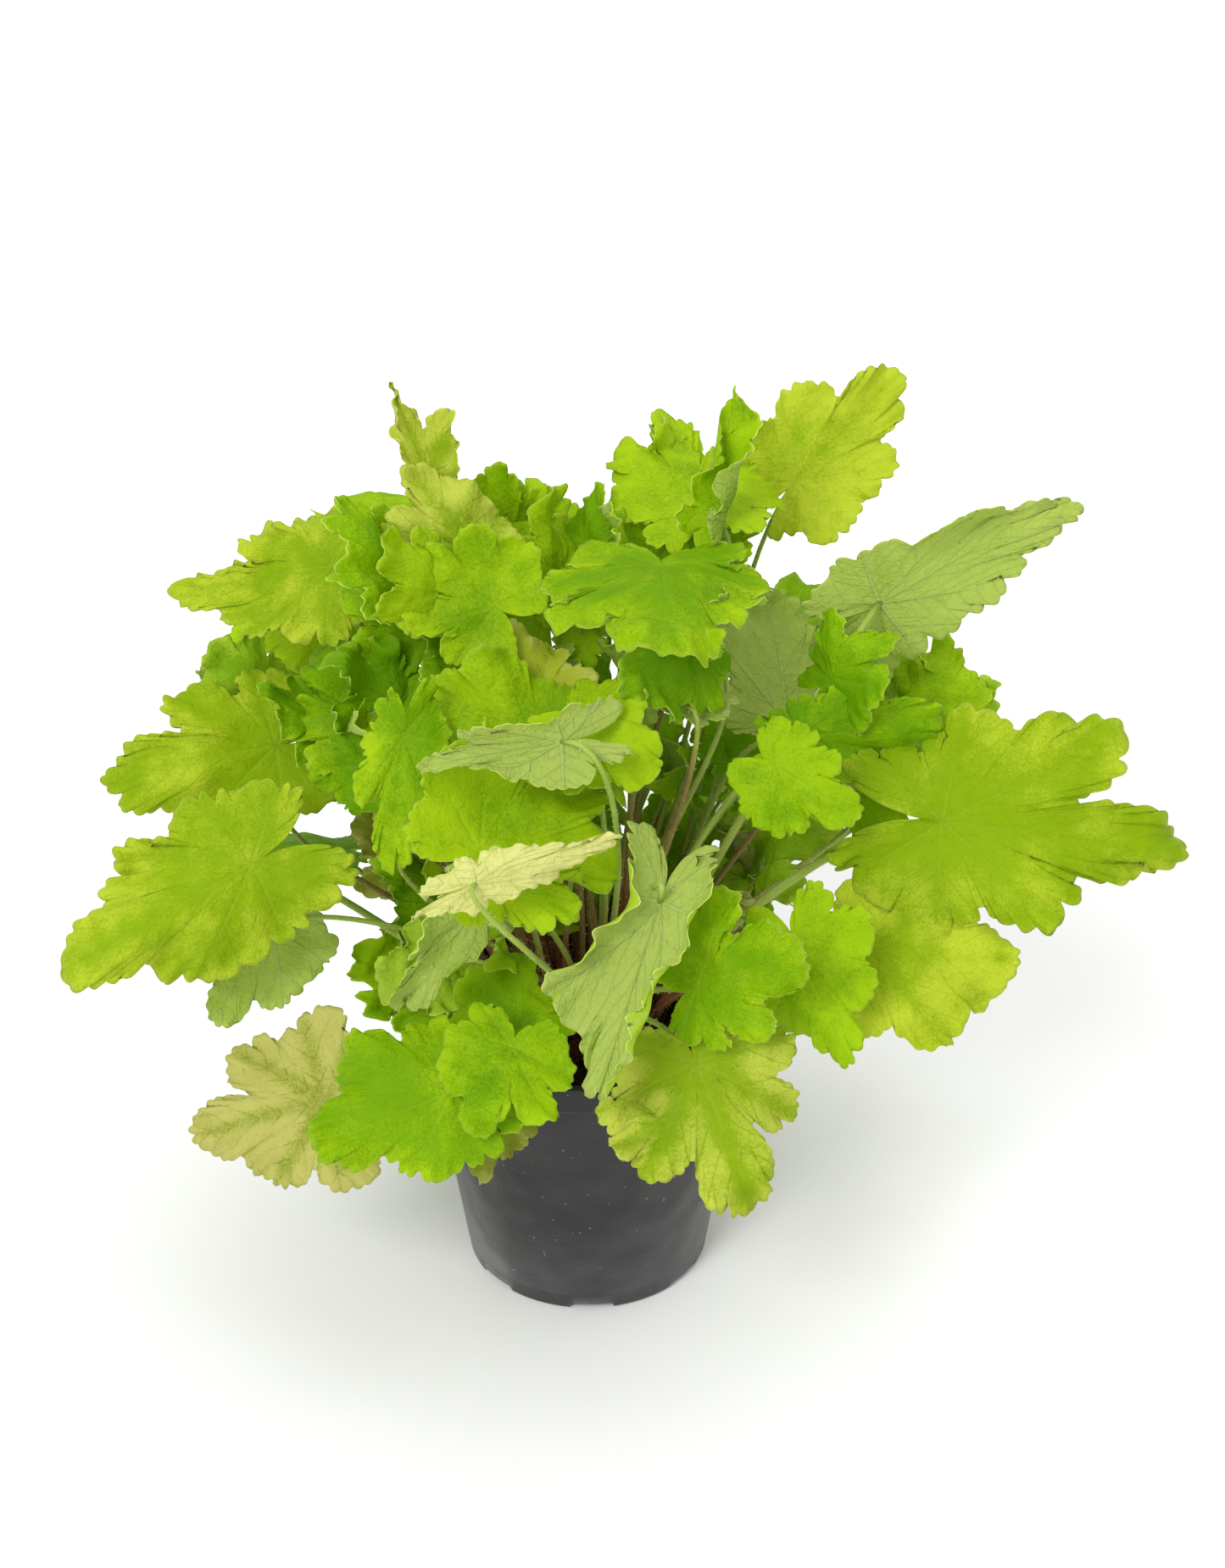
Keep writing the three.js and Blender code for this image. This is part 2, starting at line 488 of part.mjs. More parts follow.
// The petiole alone, a little larger, closed at both ends: what a hole for it is cut with.
function petioleCutter(leaf) {
  const rings = petioleRings(leaf, CLEARANCE);
  const triangles = tubeTriangles(rings.length, 0);
  for (let k = 1; k < PETIOLE_SIDES - 1; k++) triangles.push([0, k, k + 1]);
  return solidOf(geometryOf(rings.flat(), triangles));
}

// --- Pot, soil and crown ---------------------------------------------------------------------------------

const WALL_TOP = POT_HEIGHT - RIM_HEIGHT;
const wallRadius = (z) => POT_FOOT_RADIUS + ((POT_TOP_RADIUS - RIM_STEP - POT_FOOT_RADIUS) * z) / WALL_TOP;

// A thin moulded pot: a tapered wall with a proud rim band, and notches round its foot for the water.
function potGeometry() {
  const profile = [
    [0, 0],
    [POT_FOOT_RADIUS - POT_CHAMFER, 0],
    [POT_FOOT_RADIUS, POT_CHAMFER],
    [wallRadius(WALL_TOP), WALL_TOP],
    [POT_TOP_RADIUS - RIM_ROUND, WALL_TOP + RIM_ROUND],
    [POT_TOP_RADIUS, POT_HEIGHT - RIM_ROUND],
    [POT_TOP_RADIUS - RIM_ROUND, POT_HEIGHT],
    [POT_TOP_RADIUS - RIM_WALL, POT_HEIGHT],
    [wallRadius(WALL_TOP) - POT_WALL, WALL_TOP - POT_WALL],
    [POT_FOOT_RADIUS - POT_WALL, POT_FLOOR],
    [0, POT_FLOOR],
  ];
  let pot = solidOf(revolved(profile, POT_SEGMENTS));
  for (let i = 0; i < NOTCH_COUNT; i++) {
    const notch = new THREE.BoxGeometry(2 * NOTCH_DEPTH, NOTCH_WIDTH, 2 * NOTCH_HEIGHT);
    notch.translate(POT_FOOT_RADIUS, 0, 0);
    notch.rotateZ(degToRad(NOTCH_TURN + (i * 360) / NOTCH_COUNT));
    pot = pot.subtract(solidOf(notch));
  }
  return geometryFrom(pot);
}

// The crown's outline, or that of the hole it sits in where clearance is more than 0.
function crownProfile(clearance) {
  const rim = CROWN_RADIUS + clearance;
  const foot = crownHeight(CROWN_RADIUS, 0) - CROWN_DEPTH - clearance;
  const dome = CROWN_DOME.map((share) => share * CROWN_RADIUS);
  return [
    [0, foot],
    [CROWN_FOOT * CROWN_RADIUS, foot],
    [rim, foot + CROWN_EDGE * CROWN_RADIUS],
    ...dome.map((r) => [r + clearance, crownHeight(r, 0) + clearance]),
    [0, CROWN_TOP + clearance],
  ];
}

// Damp peat up to below the rim, a little uneven, with a hole that the crown sits in.
function soilGeometry() {
  const top = POT_HEIGHT - SOIL_DROP;
  const foot = POT_FLOOR + CLEARANCE;
  const shoulder = top - SOIL_SHOULDER;
  const inside = (z) => wallRadius(z) - POT_WALL - SOIL_GAP;
  const rings = [inside(shoulder), ...SOIL_RINGS, 0].map((r) => [r, top]);
  const wall = [[inside(foot), foot], [inside(shoulder), shoulder]];
  const geometry = revolved([[0, foot], ...wall, ...rings], POT_SEGMENTS);
  const at = geometry.attributes.position;
  for (let i = 0; i < at.count; i++) {
    const across = Math.sin(at.getX(i) / SOIL_WAVES[0] + SOIL_PHASE);
    const relief = SOIL_RELIEF * across * Math.cos(at.getY(i) / SOIL_WAVES[1]);
    if (at.getZ(i) > shoulder + CLEARANCE) at.setZ(i, top + relief);
  }
  const hole = solidOf(revolved(crownProfile(CLEARANCE), CROWN_SEGMENTS));
  return geometryFrom(mainBody(solidOf(geometry).subtract(hole)));
}

// The woody crown: a low dome with the stumps of old petioles, and a hole for each living one.
function crownGeometry(leaves) {
  let crown = solidOf(revolved(crownProfile(0), CROWN_SEGMENTS));
  const random = seeded(STUB_SEED);
  const place = STUB_PLACE * CROWN_RADIUS;
  for (let i = 0; i < STUB_COUNT; i++) {
    const turn = (i + STUB_SCATTER * random()) * (360 / STUB_COUNT);
    const length = STUB_LENGTH * (1 + STUB_LENGTHENING * random());
    const stub = new THREE.CylinderGeometry(...STUB_RADII, length, PETIOLE_SIDES);
    stub.rotateX(Math.PI / 2);
    stub.rotateY(degToRad(STUB_LEAN * (1 + STUB_SCATTER * random())));
    stub.translate(place, 0, crownHeight(place, 0) + STUB_LENGTH / 4);
    stub.rotateZ(degToRad(turn));
    crown = crown.add(solidOf(stub));
  }
  for (const leaf of leaves) crown = crown.subtract(petioleCutter(leaf));
  return geometryFrom(mainBody(crown));
}

// --- The plant -------------------------------------------------------------------------------------------

const leaves = LEAVES.map(leafFrom);
const plant = new THREE.Group();
plant.add(piece('pot', potGeometry(), POT_FINISH));
plant.add(piece('soil', soilGeometry(), SOIL_FINISH));
plant.add(piece('crown', crownGeometry(leaves), CROWN_FINISH));
leaves.forEach((leaf, i) => {
  const name = `leaf_${String(i + 1).padStart(2, '0')}`;
  const finish = { color: GREENS[LEAVES[i].tone], roughness: LEAF_ROUGHNESS };
  plant.add(piece(name, leafGeometry(leaf), finish));
});

export default plant;
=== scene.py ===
# Heuchera (coral bells) in a round nursery pot: a clump of lobed, ruffled leaves on slim hairy stalks.

import math

import bpy
import numpy as np
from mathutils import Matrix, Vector


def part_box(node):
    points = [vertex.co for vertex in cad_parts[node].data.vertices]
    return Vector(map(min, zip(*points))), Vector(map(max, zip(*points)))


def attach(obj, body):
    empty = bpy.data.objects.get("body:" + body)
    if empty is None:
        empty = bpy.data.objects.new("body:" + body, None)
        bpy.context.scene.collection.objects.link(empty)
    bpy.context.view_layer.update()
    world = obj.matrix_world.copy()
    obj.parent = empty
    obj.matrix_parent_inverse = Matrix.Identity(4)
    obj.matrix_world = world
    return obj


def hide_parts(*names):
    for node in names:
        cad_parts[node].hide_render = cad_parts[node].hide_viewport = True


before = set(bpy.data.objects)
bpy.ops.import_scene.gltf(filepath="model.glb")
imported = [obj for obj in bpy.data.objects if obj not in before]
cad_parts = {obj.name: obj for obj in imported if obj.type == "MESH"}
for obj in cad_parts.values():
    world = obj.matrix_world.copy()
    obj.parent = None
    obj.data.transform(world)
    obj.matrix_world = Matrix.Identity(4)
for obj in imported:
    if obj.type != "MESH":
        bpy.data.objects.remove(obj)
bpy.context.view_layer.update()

# --- The set --------------------------------------------------------------------------------------
# A flat white floor under a white sky and broad soft lights, as plants are shown for sale. The camera
# stands a little above the leaves and looks down into the clump.

VIEW_CENTRE = Vector((0.010, 0.0, 0.208))
VIEW_RISE = math.radians(27.5)
VIEW_DISTANCE = 0.9
VIEW_LENS = 55.67
# Broad lights that shine evenly over the whole floor: the side each shines from, its breadth in degrees
# and its strength.
SOFT_LIGHTS = {
    "light_key": {"place": (-0.70, -1.25, 1.35), "breadth": 24, "strength": 1.75},
    "light_top": {"place": (0.35, 0.30, 1.60), "breadth": 60, "strength": 0.95},
}
SKY_STRENGTH = 0.7


class Value:
    """The output of a node, with arithmetic that adds Math nodes."""

    def __init__(self, graph, socket):
        self.graph = graph
        self.socket = socket

    def output(self, name):
        """Another output of the same node."""
        return Value(self.graph, self.socket.node.outputs[name])

    def __add__(self, other):
        return self.graph.math("ADD", self, other)

    def __sub__(self, other):
        return self.graph.math("SUBTRACT", self, other)

    def __rsub__(self, other):
        return self.graph.math("SUBTRACT", other, self)

    def __mul__(self, other):
        return self.graph.math("MULTIPLY", self, other)

    def __truediv__(self, other):
        return self.graph.math("DIVIDE", self, other)

    def __pow__(self, other):
        return self.graph.math("POWER", self, other)

    __radd__ = __add__


class Graph:
    """A node tree that is written as expressions."""

    def __init__(self, tree):
        self.tree = tree

    def node(self, kind, settings, sockets, output=0):
        made = self.tree.nodes.new(kind)
        for name, setting in settings.items():
            setattr(made, name, setting)
        for name, value in sockets.items():
            if isinstance(value, Value):
                self.tree.links.new(value.socket, made.inputs[name])
            else:
                made.inputs[name].default_value = value
        return Value(self, made.outputs[output]) if made.outputs else None

    def math(self, operation, a, b=0.0):
        return self.node("ShaderNodeMath", {"operation": operation}, {0: a, 1: b})

    def blend(self, share, first, second):
        return self.node("ShaderNodeMix", {"data_type": "RGBA"}, {0: share, 6: first, 7: second}, 2)

    def rise(self, value, low, high):
        """0 below low, 1 above high and smooth between."""
        sockets = {"Value": value, "From Min": low, "From Max": high}
        return self.node("ShaderNodeMapRange", {"interpolation_type": "SMOOTHSTEP"}, sockets)

    def place(self):
        return self.node("ShaderNodeTexCoord", {}, {}, "Object")

    def noise(self, size, detail=2.0):
        """Cloudy noise from 0 to 1 with blotches of about size metres."""
        sockets = {"Vector": self.place(), "Scale": 1 / size, "Detail": detail}
        return self.node("ShaderNodeTexNoise", {}, sockets, "Fac")

    def bump(self, height, depth, strength=1.0):
        """A bumped normal from a height of 0 to 1 that stands for depth metres."""
        return self.node("ShaderNodeBump", {}, {"Height": height, "Distance": depth, "Strength": strength})


def colour(red, green, blue):
    """A colour given as it looks on a screen, 0 to 255, as the linear colour that nodes take."""
    linear = [((v / 255 + 0.055) / 1.055) ** 2.4 if v > 10 else v / 255 / 12.92 for v in (red, green, blue)]
    return (*linear, 1.0)


def finish(name, **constants):
    """A new material with these constants on its Principled shader, its graph and that shader's node."""
    material = bpy.data.materials.new(name)
    material.use_nodes = True
    shader = material.node_tree.nodes["Principled BSDF"]
    for socket, constant in constants.items():
        shader.inputs[socket.replace("_", " ")].default_value = constant
    return material, Graph(material.node_tree), shader


def feed(graph, shader, **values):
    """Links values to sockets of the material's Principled shader."""
    for socket, value in values.items():
        graph.tree.links.new(value.socket, shader.inputs[socket.replace("_", " ")])


def add_object(name, data):
    made = bpy.data.objects.new(name, data)
    bpy.context.scene.collection.objects.link(made)
    return made


camera_data = bpy.data.cameras.new("camera")
camera_data.sensor_width = 36
camera_data.lens = VIEW_LENS
camera = add_object("camera", camera_data)
camera.location = VIEW_CENTRE + VIEW_DISTANCE * Vector((0, -math.cos(VIEW_RISE), math.sin(VIEW_RISE)))
camera.rotation_euler = (math.pi / 2 - VIEW_RISE, 0, 0)
bpy.context.scene.camera = camera
bpy.context.scene.view_settings.view_transform = "Standard"

for light_name, light in SOFT_LIGHTS.items():
    light_data = bpy.data.lights.new(light_name, "SUN")
    light_data.angle = math.radians(light["breadth"])
    light_data.energy = light["strength"]
    lamp = add_object(light_name, light_data)
    lamp.location = light["place"]
    lamp.rotation_euler = (VIEW_CENTRE - lamp.location).to_track_quat("-Z", "Y").to_euler()

sky = bpy.data.worlds.new("sky")
sky.use_nodes = True
sky_graph = Graph(sky.node_tree)
seen = sky_graph.node("ShaderNodeLightPath", {}, {}, "Is Camera Ray")
backdrop = sky.node_tree.nodes["Background"]
backdrop.inputs["Color"].default_value = (1, 1, 1, 1)
sky.node_tree.links.new((SKY_STRENGTH + seen * (1.0 - SKY_STRENGTH)).socket, backdrop.inputs["Strength"])
bpy.context.scene.world = sky

FLOOR_REACH = 8.0
floor_mesh = bpy.data.meshes.new("floor")
floor_corners = [(x * FLOOR_REACH, y * FLOOR_REACH, 0) for x, y in ((-1, -1), (1, -1), (1, 1), (-1, 1))]
floor_mesh.from_pydata(floor_corners, [], [(0, 1, 2, 3)])
floor_finish, _, _ = finish("white_floor", Base_Color=colour(250, 250, 250), Roughness=0.9)
floor_mesh.materials.append(floor_finish)
add_object("floor", floor_mesh)

# --- Pot ------------------------------------------------------------------------------------------
# A thin round nursery pot, injection-moulded in charcoal polypropylene in one piece: a tapered wall, a
# proud rim band that stiffens it, and seven shallow notches round the foot that let water out.

POT_LOW, POT_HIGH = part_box("pot")
POT_HEIGHT = POT_HIGH.z
POT_RADIUS = (POT_HIGH.y - POT_LOW.y) / 2
POT_FOOT = 0.048
POT_WALL = 0.0016
RIM_HEIGHT = 0.011
RIM_STEP = 0.0013
RIM_WALL = 0.0022
RIM_TUCK = 0.0002
ROUND = 0.0008
UNDER_RIM_ROUND = 0.7
CHAMFER = 0.0017
POT_FLOOR = 0.0032
# Points up the wall as shares of its height, and how far each is drawn in: a faint groove over the foot.
WALL_POINTS = ((0.02, 0), (0.07, 0.0005), (0.075, 0), (0.5, 0))
NOTCHES_ROUND = 7
NOTCH_TURN = math.radians(-88)
NOTCH_WIDTH = 0.017
NOTCH_HEIGHT = 0.003
NOTCH_DEPTH = 0.005
NOTCH_MARGIN = 0.001
POT_SEGMENTS = 252


def arc(centre, radius, start, end, steps=4):
    """Points of an arc in (radius, height), start and end in degrees."""
    turns = [math.radians(start + (end - start) * i / steps) for i in range(steps + 1)]
    return [(centre[0] + radius * math.cos(a), centre[1] + radius * math.sin(a)) for a in turns]


def turned(name, profile, segments):
    """A closed mesh of revolution round Z from (radius, height) pairs that start and end on the axis."""
    rings = profile[1:-1]
    turns = np.arange(segments) * 2 * math.pi / segments
    points = [(0, 0, profile[0][1])]
    points += [(r * math.cos(a), r * math.sin(a), z) for r, z in rings for a in turns]
    points.append((0, 0, profile[-1][1]))
    top = len(points) - 1
    faces = []
    for k in range(segments):
        following = (k + 1) % segments
        faces.append((0, 1 + following, 1 + k))
        for i in range(len(rings) - 1):
            low = 1 + i * segments
            high = low + segments
            faces.append((low + k, low + following, high + following, high + k))
        faces.append((top, top - segments + k, top - segments + following))
    mesh = bpy.data.meshes.new(name)
    mesh.from_pydata(points, [], faces)
    mesh.shade_smooth()
    return mesh


def moulded_plastic():
    """Charcoal plastic, dusty at a glance, with specks and the soft dents and creases of a thin wall."""
    dust = {"Sheen_Weight": 0.17, "Sheen_Roughness": 0.45}
    material, graph, shader = finish("moulded_plastic", Specular_IOR_Level=0.5, **dust)
    cloud = graph.noise(0.018, 4)
    grain = graph.noise(0.0009, 2)
    specks = graph.rise(graph.noise(0.0022, 1), 0.735, 0.78)
    dents = graph.noise(0.024, 1)
    ridge = 1 - graph.rise(graph.math("ABSOLUTE", graph.noise(0.03, 2) - 0.5), 0.0, 0.03)
    crease = ridge * graph.rise(graph.noise(0.03, 1), 0.6, 0.68)
    charcoal = graph.blend(cloud, colour(6, 8, 8), colour(24, 26, 26))
    dusty = graph.blend(specks * 0.45 + crease * 0.08, charcoal, colour(150, 150, 148))
    normal = graph.bump(dents + crease * 0.2 + grain * 0.04, 0.0035)
    feed(graph, shader, Base_Color=dusty, Roughness=0.36 + cloud * 0.22, Normal=normal)
    return material


wall_top = POT_HEIGHT - RIM_HEIGHT
wall_radius = POT_RADIUS - RIM_STEP
slant = wall_radius - POT_FOOT
wall_points = [(POT_FOOT + up * slant - drawn, up * wall_top) for up, drawn in WALL_POINTS]
pot_profile = [
    (0, 0),
    (POT_FOOT - NOTCH_DEPTH - NOTCH_MARGIN, 0),
    (POT_FOOT - NOTCH_DEPTH, 0),
    (POT_FOOT - CHAMFER, 0),
    *arc((POT_FOOT - CHAMFER, CHAMFER), CHAMFER, -80, 0),
    *wall_points,
    (wall_radius - RIM_TUCK, wall_top - ROUND),
    (wall_radius, wall_top),
    *arc((POT_RADIUS - ROUND, wall_top + ROUND), ROUND * UNDER_RIM_ROUND, -60, 0),
    *arc((POT_RADIUS - ROUND, POT_HEIGHT - ROUND), ROUND, 0, 90),
    *arc((POT_RADIUS - RIM_WALL, POT_HEIGHT - ROUND), ROUND, 90, 180),
    (wall_radius - POT_WALL, wall_top - POT_WALL),
    (POT_FOOT - POT_WALL, POT_FLOOR),
    (0, POT_FLOOR),
]
pot_mesh = turned("pot_moulding", pot_profile, POT_SEGMENTS)
for vertex in pot_mesh.vertices:
    reach = math.hypot(vertex.co.x, vertex.co.y)
    turn = math.atan2(vertex.co.y, vertex.co.x) - NOTCH_TURN
    across = abs((turn * NOTCHES_ROUND / math.pi + 1) % 2 - 1) * math.pi / NOTCHES_ROUND * POT_FOOT
    in_notch = across < NOTCH_WIDTH / 2 and reach > POT_FOOT - NOTCH_DEPTH - NOTCH_MARGIN / 2
    if in_notch and vertex.co.z < NOTCH_HEIGHT:
        vertex.co.z = NOTCH_HEIGHT
pot_mesh.materials.append(moulded_plastic())
pot = add_object("pot_moulding", pot_mesh)
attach(pot, "root")
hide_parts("pot")

# --- Soil -----------------------------------------------------------------------------------------
# Damp black peat compost, filled by hand to a little under the rim and settled by watering, so that its
# top is uneven and strewn with loose crumbs.

SOIL_LOW, SOIL_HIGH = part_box("soil")
SOIL_RADIUS = SOIL_HIGH.x
SOIL_FOOT = SOIL_LOW.z
SOIL_MOUNDS = 0.0016
SOIL_TOP = SOIL_HIGH.z - SOIL_MOUNDS
# The top ends a little short of the wall and rounds off there, and the foot stands inside the pot's wall.
SOIL_SHARE = 0.985
SOIL_ROUND = 0.004
SOIL_FOOT_GAP = 0.0012
SOIL_RINGS = 44
SOIL_SEGMENTS = 180
MOUND_HEIGHT = 0.0009
RIPPLE_HEIGHT = 0.0004
# Crumbs for each square metre, their sizes and how far they turn.
CRUMBS = {"Density": 260000, "Smallest": 0.0007, "Largest": 0.0021}
ANY_WAY = ((0, 0, 0), (6.28, 6.28, 6.28))


def peat():
    """Nearly black, matt and fibrous, with paler dry flecks."""
    material, graph, shader = finish("peat", Specular_IOR_Level=0.2, Roughness=0.95)
    cloud = graph.noise(0.006, 5)
    fleck = graph.rise(graph.noise(0.0013, 2), 0.62, 0.75)
    dark = graph.blend(cloud, colour(14, 11, 9), colour(44, 34, 26))
    feed(graph, shader, Base_Color=graph.blend(fleck * 0.6, dark, colour(84, 66, 48)))
    feed(graph, shader, Normal=graph.bump(cloud, 0.003))
    return material


def modifier_result(name, source, tree, inputs):
    """The mesh that a Geometry Nodes tree makes from a source object, as a plain object of its own."""
    modifier = source.modifiers.new(name, "NODES")
    modifier.node_group = tree
    for item in tree.interface.items_tree:
        if item.item_type == "SOCKET" and item.in_out == "INPUT" and item.name in inputs:
            modifier[item.identifier] = inputs[item.name]
    scene_state = bpy.context.evaluated_depsgraph_get()
    mesh = bpy.data.meshes.new_from_object(source.evaluated_get(scene_state))
    source.modifiers.remove(modifier)
    mesh.name = name
    return add_object(name, mesh)


def geometry_tree(name, numbers):
    """A Geometry Nodes tree with a mesh in, a mesh out and these named number inputs, and its graph."""
    tree = bpy.data.node_groups.new(name, "GeometryNodeTree")
    tree.interface.new_socket("Mesh", in_out="INPUT", socket_type="NodeSocketGeometry")
    for number in numbers:
        tree.interface.new_socket(number, in_out="INPUT", socket_type="NodeSocketFloat")
    tree.interface.new_socket("Mesh", in_out="OUTPUT", socket_type="NodeSocketGeometry")
    graph = Graph(tree)
    source = tree.nodes.new("NodeGroupInput")
    inputs = {socket.name: Value(graph, socket) for socket in source.outputs if socket.name}
    return tree, graph, inputs


def drawn_vector(graph, span, seed):
    """A vector for each point, drawn between the two of a span."""
    sockets = {"Min": span[0], "Max": span[1], "Seed": seed}
    return graph.node("FunctionNodeRandomValue", {"data_type": "FLOAT_VECTOR"}, sockets)


def strewn(name, source, material, numbers, shape, turns, seeds, level=None, squash=None):
    """Small shapes strewn over a mesh at random, as a plain object in a material.

    numbers are the tree's inputs: shapes for each square metre, their smallest and largest size, and any
    that the shape's own sockets name. With a level, only faces whose normals look up by more than it are
    strewn and the shapes turn freely. Without one they stand on the face beneath them and turn from there.
    The seeds are those of the places, the turns, the sizes and the squash.
    """
    tree, graph, inputs = geometry_tree(name, numbers)
    place_seed, turn_seed, size_seed = seeds[:3]
    sockets = {"Mesh": inputs["Mesh"], "Density": inputs["Density"], "Seed": place_seed}
    if level is not None:
        normal = graph.node("GeometryNodeInputNormal", {}, {})
        up = graph.node("ShaderNodeSeparateXYZ", {}, {"Vector": normal}, "Z")
        above = {"A": up, "B": level}
        sockets["Selection"] = graph.node("FunctionNodeCompare", {"operation": "GREATER_THAN"}, above)
    points = graph.node("GeometryNodeDistributePointsOnFaces", {}, sockets)
    kind, form = shape
    instance = graph.node(kind, {}, {socket: inputs.get(value, value) for socket, value in form.items()})
    turn = drawn_vector(graph, turns, turn_seed)
    if level is None:
        from_face = {0: points.output("Rotation"), 1: turn}
        turn = graph.node("FunctionNodeRotateRotation", {"rotation_space": "LOCAL"}, from_face)
    sizes = {2: inputs["Smallest"], 3: inputs["Largest"], "Seed": size_seed}
    scale = graph.node("FunctionNodeRandomValue", {"data_type": "FLOAT"}, sizes, 1)
    if squash:
        squashed = {0: drawn_vector(graph, squash, seeds[3]), "Scale": scale}
        scale = graph.node("ShaderNodeVectorMath", {"operation": "SCALE"}, squashed)
    sockets = {"Points": points, "Instance": instance, "Rotation": turn, "Scale": scale}
    placed = graph.node("GeometryNodeInstanceOnPoints", {}, sockets)
    plain = graph.node("GeometryNodeRealizeInstances", {}, {0: placed})
    dressed = graph.node("GeometryNodeSetMaterial", {}, {"Geometry": plain, "Material": material})
    graph.node("NodeGroupOutput", {}, {0: dressed})
    return modifier_result(name, source, tree, numbers)


soil_steps = [SOIL_RADIUS * SOIL_SHARE * (1 - i / SOIL_RINGS) for i in range(SOIL_RINGS)]
soil_profile = [(0, SOIL_FOOT), (POT_FOOT - POT_WALL - SOIL_FOOT_GAP, SOIL_FOOT)]
soil_profile += [(SOIL_RADIUS * SOIL_SHARE, SOIL_TOP - SOIL_ROUND)]
soil_profile += [(r, SOIL_TOP) for r in soil_steps] + [(0, SOIL_TOP)]
soil_mesh = turned("soil_fill", soil_profile, SOIL_SEGMENTS)
for vertex in soil_mesh.vertices:
    if vertex.co.z > SOIL_TOP - SOIL_ROUND / 2:
        # Mounds about 20 mm apart, ridges 6 mm apart across them, and ripples of 3 mm over both.
        x, y = vertex.co.x * 1000, vertex.co.y * 1000
        mound = math.sin(x / 3.2 + 1.1) * math.cos(y / 3.7) + 0.5 * math.sin(x * 0.83 + y * 0.61)
        vertex.co.z += MOUND_HEIGHT * mound + RIPPLE_HEIGHT * math.sin(x * 1.9 - y * 1.3)
peat_finish = peat()
soil_mesh.materials.append(peat_finish)
soil = add_object("soil_fill", soil_mesh)
lump = ("GeometryNodeMeshIcoSphere", {"Radius": 0.5, "Subdivisions": 1})
crumbs = strewn("soil_crumbs", soil, peat_finish, CRUMBS, lump, ANY_WAY, seeds=(5, 7, 11, 13), level=0.6,
                squash=((0.5, 0.5, 0.4), (1.5, 1.0, 1.0)))
for piece in (soil, crumbs):
    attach(piece, "root")
    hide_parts("soil")

# --- Crown ----------------------------------------------------------------------------------------
# The woody rootstock that the plant grows from year after year: a low reddish-brown dome, half sunk in the
# soil and shaggy with the dry scales of old leaf stalks.

CROWN_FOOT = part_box("crown")[0].z
CROWN_TOP = 0.118
CROWN_RADIUS = 0.028
# How far the dome falls at one metre from its axis; it falls with the square of the distance.
CROWN_DROP = 10.0
CROWN_RINGS = 14
# Above 1, the rings lie closer together at the edge.
CROWN_CROWDING = 1.2
CROWN_SEGMENTS = 90
CROWN_UNDERCUT = 0.8
CROWN_EDGE = 0.004
KNOB_HEIGHT = 0.0007
# Scales for each square metre, their lengths and how far they lean.
SCALES = {"Density": 230000, "Smallest": 0.004, "Largest": 0.011}
SCALE_LEAN = ((-0.75, -0.75, 0), (0.75, 0.75, 6.28))


def bark():
    """Dull reddish brown, fibrous, with painted shade that makes it darker in the hollows."""
    material, graph, shader = finish("bark", Specular_IOR_Level=0.25, Roughness=0.85)
    cloud = graph.noise(0.004, 4)
    fibre = graph.noise(0.0011, 3)
    # Painted shade: the cloud that sinks the bump also darkens the brown, so the hollows are darker.
    brown_with_painted_shade = graph.blend(cloud, colour(58, 30, 20), colour(124, 74, 48))
    feed(graph, shader, Base_Color=graph.blend(fibre * 0.5, brown_with_painted_shade, colour(92, 44, 32)))
    feed(graph, shader, Normal=graph.bump(fibre + cloud, 0.0012))
    return material


crown_steps = [CROWN_RADIUS * (1 - (i / CROWN_RINGS) ** CROWN_CROWDING) for i in range(CROWN_RINGS)]
crown_profile = [(0, CROWN_FOOT), (CROWN_UNDERCUT * CROWN_RADIUS, CROWN_FOOT)]
crown_profile += [(CROWN_RADIUS, CROWN_FOOT + CROWN_EDGE)]
crown_profile += [(r, CROWN_TOP - CROWN_DROP * r * r) for r in crown_steps] + [(0, CROWN_TOP)]
crown_mesh = turned("crown_rootstock", crown_profile, CROWN_SEGMENTS)
for vertex in crown_mesh.vertices:
    # Knobs about 7 mm apart with finer ones over them, but none where the faces meet at the axis.
    x, y = vertex.co.x * 1000, vertex.co.y * 1000
    knob = math.sin(x * 0.9 + 0.4 * y) * math.cos(y * 0.8) + 0.4 * math.sin(2.1 * x - 1.7 * y)
    if math.hypot(x, y) > 1:
        vertex.co.z += KNOB_HEIGHT * knob
bark_finish = bark()
crown_mesh.materials.append(bark_finish)
crown = add_object("crown_rootstock", crown_mesh)
sliver_form = {"Vertices": 5, "Side Segments": 2, "Radius Top": 0.01, "Radius Bottom": 0.11, "Depth": 1.0}
sliver = ("GeometryNodeMeshCone", sliver_form)
scales = strewn("crown_scales", crown, bark_finish, SCALES, sliver, SCALE_LEAN, seeds=(3, 17, 19), level=0.1)
for piece in (crown, scales):
    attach(piece, "root")
    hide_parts("crown")

# --- Leaves ---------------------------------------------------------------------------------------
# Each leaf is one organ: a slim hairy stalk that stands in the crown and opens into a palmate blade of
# seven scalloped lobes. The blades are soft and half matt, lime green above and pale grey-green beneath,
# quilted between sunken veins and frilled towards the edge.

MM = 0.001
# Lobes and the notches after them, from the middle lobe back on either side: their angles from the tip in
# degrees, their reach in blade lengths, and how much these differ from leaf to leaf. LOBE_SWERVE turns them
# by some degrees, NOTCH_OPEN sets how wide notches open, and the two of POINT shape the middle lobe's end.
LOBES = ((0, 1.0), (45, 0.80), (87, 0.65), (128, 0.50))
NOTCHES = ((23, 0.68), (66, 0.57), (108, 0.46), (158, 0.32))
LOBE_COUNT = 7
LOBE_VARIATION = 0.24
LOBE_SWERVE = 16
NOTCH_VARIATION = 0.44
NOTCH_OPEN = 0.9
POINT_WIDTH = 2.2
POINT_POWER = 1.5
